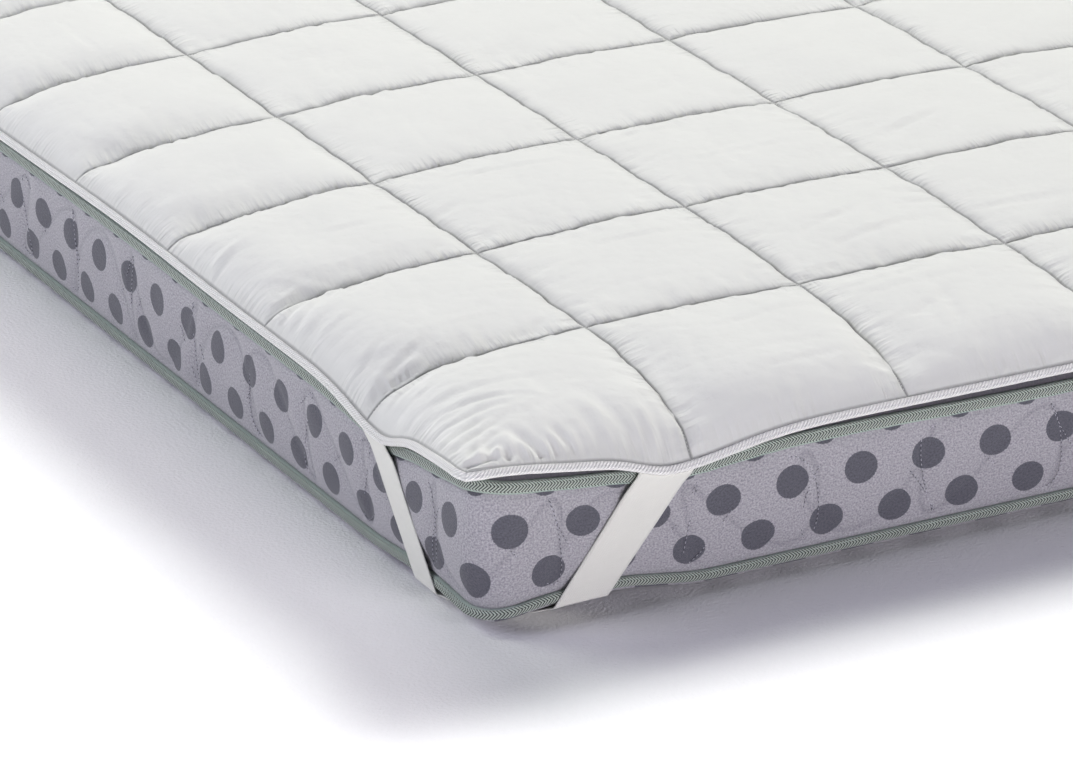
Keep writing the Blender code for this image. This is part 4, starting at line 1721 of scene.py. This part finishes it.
def srgb(red: int, green: int, blue: int) -> Colour:
    """A screen colour, 0 to 255, as the linear colour that shaders use."""
    shares = [channel / 255 for channel in (red, green, blue)]
    linear = [
        share / 12.92 if share <= 0.04045 else ((share + 0.055) / 1.055) ** 2.4
        for share in shares
    ]
    return (*linear, 1.0)


@dataclass(frozen=True)
class Finish:
    """What every cloth has: a name, a colour that wanders, a roughness and a sheen."""

    groups: SharedGroups
    name: str = "cloth"
    colour: Colour = srgb(234, 235, 230)
    other: Colour = srgb(227, 228, 223)
    blot: float = 0.02
    contrast: float = 0.8
    roughness: float = 0.85
    sheen: float = 0.25
    sheen_roughness: float = 0.5
    specular: float = 0.25

    def material(self) -> Material:
        """Makes the material."""
        looks = {"Roughness": self.roughness, "Sheen Weight": self.sheen}
        looks |= {"Sheen Roughness": self.sheen_roughness, "Specular IOR Level": self.specular}
        material, nodes = new_material(self.name, looks)
        self.dress(nodes, nodes.add("ShaderNodeUVMap", uv_map="cloth").outputs[0])
        return material

    def dress(self, nodes: Nodes, place: Socket) -> None:
        """Adds the cloth's own colour and relief to the shader.

        Args:
            nodes: The writer of the material's tree.
            place: The place on the flat cloth, in metres.
        """
        nodes.colour(self.mottled(nodes, place))

    def mottled(self, nodes: Nodes, place: Socket, *colours: Colour) -> Socket:
        """The finish's two colours, or two others, in blots of one size."""
        colour, other = colours or (self.colour, self.other)
        values = {"Place": place, "Size": self.blot, "Contrast": self.contrast}
        values |= {"Colour": colour, "Other": other}
        return nodes.group(self.groups.mottle, **values).outputs["Colour"]


@dataclass(frozen=True)
class QuiltCotton(Finish):
    """Fine white cotton, drawn into puckers along its seams, with painted shade on them."""

    name: str = "quilt_cotton"
    blot: float = 0.05
    contrast: float = 0.9
    cell: float = 0.25
    # The grey of the painted shade along the seams.
    shaded: Colour = srgb(96, 98, 98)
    seam_shade: float = 0.70
    pucker_reach: float = 0.034
    pucker_pitch: float = 0.0056
    pucker_deep: float = 0.0055
    soft_scale: float = 90.0
    soft_deep: float = 0.0008
    weave_pitch: float = 0.0009
    weave_deep: float = 0.00006

    def dress(self, nodes: Nodes, place: Socket) -> None:
        """Adds the puckers, the weave, a slight unevenness of tone and painted shade along the
        seams.
        """
        x, y, _ = nodes.split(place)
        normal, seams = None, []
        for along, across, seed in ((y, x, 0.0), (x, y, 50.0)):
            values = {"Along": along, "Across": across, "Cell": self.cell, "Seed": seed}
            values |= {"Reach": self.pucker_reach, "Pitch": self.pucker_pitch}
            drawn = nodes.group(self.groups.puckers, **values)
            normal = nodes.bump(drawn.outputs["Height"], self.pucker_deep, normal)
            seams.append(drawn.outputs["Seam"])
        # Painted shade: the cotton's colour is drawn towards grey along the seams.
        seam = nodes.math("MULTIPLY", nodes.math("MAXIMUM", *seams), self.seam_shade)
        tone = nodes.mix(seam, self.mottled(nodes, place), self.shaded)
        nodes.colour(tone)
        soft = nodes.noise(place, self.soft_scale, 2.0)
        normal = nodes.bump(soft, self.soft_deep, normal)
        weave = nodes.group(self.groups.weave, Place=place, Pitch=self.weave_pitch)
        nodes.bump(weave.outputs[0], self.weave_deep, normal)


@dataclass(frozen=True)
class BindingTape(Finish):
    """Off-white woven tape with slanting ribs, and painted shade between them."""

    name: str = "binding_tape"
    colour: Colour = srgb(254, 254, 250)
    other: Colour = srgb(249, 249, 245)
    blot: float = 0.01
    contrast: float = 1.0
    rib_pitch: float = 0.0040
    rib_slant: float = 0.9
    rib_deep: float = 0.0009
    # The grey of the painted shade between the ribs.
    between: Colour = srgb(186, 186, 180)
    groove_shade_share: float = 0.34

    def dress(self, nodes: Nodes, place: Socket) -> None:
        """Adds the ribs, with painted shade between them."""
        values = {"Place": place, "Pitch": self.rib_pitch, "Slant": self.rib_slant, "Band": 1.0}
        ribs = nodes.group(self.groups.ribs, **values).outputs[0]
        # Painted shade: the colour darkens between the ribs, where their grooves lie in shade.
        low = nodes.ramp(ribs, 0.0, 0.5, (self.groove_shade_share, 0.0))
        shade = nodes.mix(low, self.mottled(nodes, place), self.between)
        nodes.colour(shade)
        nodes.bump(ribs, self.rib_deep)


@dataclass(frozen=True)
class StrapElastic(Finish):
    """White elastic, finely ribbed along its length."""

    name: str = "strap_elastic"
    colour: Colour = srgb(229, 229, 221)
    other: Colour = srgb(223, 223, 215)
    blot: float = 0.012
    contrast: float = 1.0
    roughness: float = 0.75
    cord_pitch: float = 0.0022
    cord_deep: float = 0.00016
    weave_pitch: float = 0.0011
    weave_deep: float = 0.00007

    def dress(self, nodes: Nodes, place: Socket) -> None:
        """Adds the cords and the threads between them."""
        nodes.colour(self.mottled(nodes, place))
        turn = nodes.math("MULTIPLY", nodes.split(place)[0], TAU / self.cord_pitch)
        cords = nodes.math("MULTIPLY_ADD", nodes.math("SINE", turn), 0.5, 0.5)
        normal = nodes.bump(cords, self.cord_deep)
        weave = nodes.group(self.groups.weave, Place=place, Pitch=self.weave_pitch)
        nodes.bump(weave.outputs[0], self.weave_deep, normal)


@dataclass(frozen=True)
class BedTape(Finish):
    """Grey-green tape in a herringbone weave, with lighter sewn edges."""

    name: str = "bed_tape"
    colour: Colour = srgb(193, 202, 191)
    other: Colour = srgb(172, 182, 171)
    blot: float = 0.006
    contrast: float = 1.2
    dark: Colour = srgb(44, 50, 48)
    edge: Colour = srgb(158, 174, 164)
    rib_pitch: float = 0.0035
    rib_band: float = 0.0058
    rib_deep: float = 0.0005
    middle: float = 0.0098
    woven: tuple[float, float] = (0.0060, 0.0068)

    def dress(self, nodes: Nodes, place: Socket) -> None:
        """Adds the chevrons and the sewn edges."""
        values = {"Place": place, "Pitch": self.rib_pitch, "Slant": 1.0, "Band": self.rib_band}
        ribs = nodes.group(self.groups.ribs, **values).outputs[0]
        shade = nodes.mix(nodes.ramp(ribs, 0.05, 0.75), self.dark, self.mottled(nodes, place))
        off = nodes.math("ABSOLUTE", nodes.math("SUBTRACT", nodes.split(place)[1], self.middle))
        shade = nodes.mix(nodes.ramp(off, *self.woven), shade, self.edge)
        nodes.colour(shade)
        nodes.bump(ribs, self.rib_deep)


@dataclass(frozen=True)
class BedKnit(Finish):
    """Mottled lavender-grey knit with plain round dots, painted shade along its quilting, and
    painted shadow on its top under the topper.
    """

    name: str = "bed_knit"
    colour: Colour = srgb(191, 189, 193)
    other: Colour = srgb(140, 138, 145)
    blot: float = 0.0022
    contrast: float = 3.0
    dot: Colour = srgb(104, 104, 112)
    dot_other: Colour = srgb(82, 82, 90)
    round_all: float = 6.9
    pitch: float = 0.0790
    row: float = 0.0545
    radius: float = 0.0190
    ragged: float = 0.0016
    first_row: float = 0.030
    # Painted shade along the quilting's sewn lines.
    channel_shade_share: float = 0.26
    # Painted shadow: the top, above the top tape, is darkened where the topper overhangs it.
    under_topper_shade: Colour = srgb(64, 62, 68)
    under_topper_shade_share: float = 0.85
    under_topper_shade_from: float = 0.150
    under_topper_shade_full: float = 0.162
    loop_pitch: float = 0.0016
    loop_deep: float = 0.00015
    soft_scale: float = 380.0
    soft_deep: float = 0.0007

    def dress(self, nodes: Nodes, place: Socket) -> None:
        """Adds the dots, the painted shade along the quilting and under the topper, the mottling
        and the knit's loops.
        """
        far = nodes.noise(place, 700.0, 1.0)
        far = nodes.math("MULTIPLY", nodes.math("SUBTRACT", far, 0.5), self.ragged)
        far = nodes.math("ADD", self.far_from_dots(nodes, place), far)
        dots = nodes.ramp(far, self.radius - 0.0004, self.radius + 0.0005, (1.0, 0.0))
        # Painted shade: near the quilting's sewn lines the ground is drawn towards the dots'
        # colour, standing in for the shade in the channels.
        sewn = nodes.split(nodes.add("ShaderNodeUVMap", uv_map="sewn").outputs[0])[0]
        sewn = nodes.ramp(sewn, 0.30, 1.0, (0.0, self.channel_shade_share))
        ground = nodes.mix(sewn, self.mottled(nodes, place), self.dot)
        side = nodes.mix(dots, ground, self.mottled(nodes, place, self.dot, self.dot_other))
        # Painted shadow: everything above the top tape is drawn towards a dark grey, standing in
        # for the shadow under the topper's edge.
        high, share = nodes.split(place)[1], (0.0, self.under_topper_shade_share)
        above = nodes.ramp(high, self.under_topper_shade_from, self.under_topper_shade_full, share)
        nodes.colour(nodes.mix(above, side, self.under_topper_shade))
        loops = nodes.group(self.groups.weave, Place=place, Pitch=self.loop_pitch)
        normal = nodes.bump(loops.outputs[0], self.loop_deep)
        nodes.bump(nodes.noise(place, self.soft_scale, 3.0), self.soft_deep, normal)

    def far_from_dots(self, nodes: Nodes, place: Socket) -> Socket:
        """How far a place is from the nearest dot's middle, every second row shifted."""
        pitch = self.round_all / round(self.round_all / self.pitch)
        way, high, _ = nodes.split(place)
        found = []
        for row in (0, 1):
            moved = nodes.math("ADD", way, 0.5 * row * pitch)
            raised = nodes.math("SUBTRACT", high, self.first_row + row * self.row)
            offs = (nodes.off_nearest(moved, pitch)[1], nodes.off_nearest(raised, 2 * self.row)[1])
            found.append(nodes.hypot(*offs))
        return nodes.math("MINIMUM", *found)


@dataclass(frozen=True)
class SewingThread(Finish):
    """Thread of one colour."""

    name: str = "white_thread"
    blot: float = 0.004
    contrast: float = 1.5
    roughness: float = 0.6

    def dress(self, nodes: Nodes, place: Socket) -> None:
        """Adds a slight unevenness of tone, read from the place in the room."""
        super().dress(nodes, nodes.add("ShaderNodeTexCoord").outputs["Object"])


@dataclass(frozen=True)
class Lamp:
    """A square soft light that faces the bed."""

    name: str
    at: tuple[float, float, float]
    size: float
    power: float
    tint: tuple[float, float, float]

    def hang(self) -> None:
        """Puts the light in its place."""
        light = bpy.data.lights.new(self.name, "AREA")
        light.size = self.size
        light.energy = self.power
        light.color = self.tint
        lamp = put_in_scene(self.name, light)
        lamp.location = self.at
        lamp.rotation_euler = (-Vector(self.at)).to_track_quat("-Z", "Y").to_euler()


@dataclass
class Studio:
    """The plain floor, the soft lights and the camera."""

    camera_at: tuple[float, float, float] = (-3.25410, -6.08676, 2.54239)
    heading: float = math.radians(26.8027)
    looking_down: float = math.radians(21.7696)
    roll: float = math.radians(-0.9971)
    lens: float = 210.4
    sensor: float = 36.0
    sees: float = 100.0
    floor_size: float = 60.0
    floor_z: float = -0.0004
    floor_colour: Colour = (0.95, 0.95, 0.95, 1.0)
    floor_blots: float = 0.985
    bed_half: tuple[float, float] = (0.74, 0.99)
    # Painted light: where the floor's glow starts and ends, and how strong it is.
    glow_from: float = 0.11
    glow_to: float = 0.40
    glow: float = 0.55
    sky: Colour = (0.9, 0.9, 1.0, 1.0)
    sky_strength: float = 0.01
    lamps: tuple[Lamp, ...] = (
        Lamp("behind", (1.3, 8.0, 8.0), 4.8, 350.0, (1.05, 0.95, 1.0)),
        Lamp("behind_left", (-6.4, 6.4, 8.0), 4.8, 365.0, (0.97, 1.04, 0.92)),
        Lamp("behind_right", (8.0, 6.4, 8.0), 4.8, 1250.0, (1.0, 1.02, 0.975)),
        Lamp("left", (-6.0, 0.0, 4.0), 4.0, 165.0, (0.94, 0.92, 1.16)),
        Lamp("low_front", (0.5, -6.0, 0.9), 3.0, 178.0, (1.0, 0.96, 1.06)),
    )

    def build(self) -> None:
        """Makes the floor, the lights and the camera."""
        self.make_floor()
        self.make_lights()
        self.make_camera()

    def make_floor(self) -> None:
        """A wide plain floor, just under the bed."""
        bm = bmesh.new()
        bmesh.ops.create_grid(bm, x_segments=1, y_segments=1, size=self.floor_size / 2)
        mesh = bpy.data.meshes.new("floor")
        bm.to_mesh(mesh)
        bm.free()
        mesh.materials.append(self.floor_material())
        floor = put_in_scene("floor", mesh)
        floor.location.z = self.floor_z

    def floor_material(self) -> Material:
        """White paper with a slight grain, and painted light that makes it glow whiter away from
        the bed.
        """
        looks = {"Roughness": 0.9, "Specular IOR Level": 0.1, "Emission Color": (1.0,) * 4}
        material, nodes = new_material("plain_floor", looks)
        where = nodes.add("ShaderNodeTexCoord").outputs["Object"]
        other = (*(channel * self.floor_blots for channel in self.floor_colour[:3]), 1.0)
        tone = nodes.mix(nodes.noise(where, 3.0, 2.0), self.floor_colour, other)
        nodes.colour(tone)
        nodes.bump(nodes.noise(where, 240.0, 2.0), 0.0012)
        self.paint_light_away_from_bed(nodes, where)
        return material

    def paint_light_away_from_bed(self, nodes: Nodes, where: Socket) -> None:
        """Painted light: makes the floor glow whiter away from the bed, by emission that grows with
        the distance from it.
        """
        gaps = []
        for way, half in zip(nodes.split(where), self.bed_half):
            gap = nodes.math("SUBTRACT", nodes.math("ABSOLUTE", way), half)
            gaps.append(nodes.math("MAXIMUM", gap, 0.0))
        glow = nodes.ramp(nodes.hypot(*gaps), self.glow_from, self.glow_to, (0.0, self.glow))
        nodes.put(nodes.shader.inputs["Emission Strength"], glow)

    def make_lights(self) -> None:
        """A faint sky, and the soft lights round the bed."""
        world = bpy.data.worlds.new("studio")
        world.use_nodes = True
        ground = world.node_tree.nodes["Background"]
        ground.inputs["Color"].default_value = self.sky
        ground.inputs["Strength"].default_value = self.sky_strength
        bpy.context.scene.world = world
        for lamp in self.lamps:
            lamp.hang()
        bpy.context.scene.view_settings.view_transform = "Standard"

    def make_camera(self) -> None:
        """The camera, at the photograph's place and angle."""
        turn, tip, roll = self.heading, self.looking_down, self.roll
        flat = math.cos(tip)
        ahead = Vector((math.sin(turn) * flat, math.cos(turn) * flat, -math.sin(tip)))
        level = Vector((math.cos(turn), -math.sin(turn), 0.0))
        upright = level.cross(ahead)
        right = level * math.cos(roll) + upright * math.sin(roll)
        up = upright * math.cos(roll) - level * math.sin(roll)
        data = bpy.data.cameras.new("camera")
        data.lens = self.lens
        data.sensor_width = self.sensor
        data.clip_end = self.sees
        camera = put_in_scene("camera", data)
        placed = Matrix((right, up, -ahead)).transposed().to_4x4()
        placed.translation = Vector(self.camera_at)
        camera.matrix_world = placed
        bpy.context.scene.camera = camera


THREADS = {
    "white_thread": (Finish.colour, Finish.other),
    "pale_thread": (srgb(206, 205, 214), srgb(176, 175, 187)),
    # Painted shade: dark beads that stand for the shade inside the knit's needle holes.
    "needle_hole_shade": (srgb(84, 83, 92), srgb(70, 69, 78)),
    "mint_thread": (srgb(206, 224, 214), srgb(190, 208, 198)),
}


def main() -> None:
    """Builds the bed, its topper and the studio."""
    logging.basicConfig(level=logging.INFO, format="%(name)s: %(message)s")
    groups = SharedGroups()
    pad, bed = QuiltPad(), Mattress()
    cotton = QuiltCotton(groups, cell=pad.shape.cell).material()
    binding_tape = BindingTape(groups).material()
    elastic = StrapElastic(groups).material()
    round_all = float(bed.shape.outline(0.0, 0.05, 4)[1][-1])
    knit = BedKnit(groups, round_all=round_all).material()
    bed_tape = BedTape(groups).material()
    white, pale, dark, mint = (
        SewingThread(groups, name, *colours).material() for name, colours in THREADS.items()
    )

    quilt = settle(pad.build(cotton), "quilt_cotton", "topper_pad")
    sewing = Thread(thickness=0.0006)
    settle(sewing.sew("quilt_stitches", pad.stitches(sewing), white), "quilt_cotton")

    binding = EdgeBinding(pad)
    tape = settle(binding.build(binding_tape), "binding_tape", "edge_binding")
    small = Thread(pitch=0.0036, length=0.0026, thickness=0.0007)
    settle(small.sew("binding_stitches", [binding.stitches(small)], white), "binding_tape")

    mattress = settle(bed.build(knit), "bed_knit", "mattress_body")
    fine = Thread(pitch=0.0052, length=0.0030, thickness=0.0009)
    settle(fine.sew("mattress_stitches", bed.stitches(fine), pale), "bed_knit")
    # Painted shade: dark beads between the stitches stand for the shade in the needle holes.
    holes = Thread(pitch=0.0052, length=0.0020, thickness=0.0008, shift=0.5)
    settle(holes.sew("mattress_needle_holes", bed.stitches(holes), dark), "bed_knit")

    for edge, node in ((Edge.TOP, "mattress_tape_top"), (Edge.LOW, "mattress_tape_low")):
        trim = EdgeTape(edge, bed)
        tape = settle(trim.build(bed_tape), "bed_tape", node)
        sewn = small.sew(f"edge_tape_{edge.value}_stitches", trim.stitches(small), mint)
        settle(sewn, "bed_tape")

    for side_y in (-1, 1):
        for side_x in (-1, 1):
            strap = Strap(side_x, side_y, pad.shape, bed.shape)
            piece = settle(strap.build(elastic), "strap_elastic", f"strap_{strap.name}")

    Studio().build()


if __name__ == "__main__":
    main()
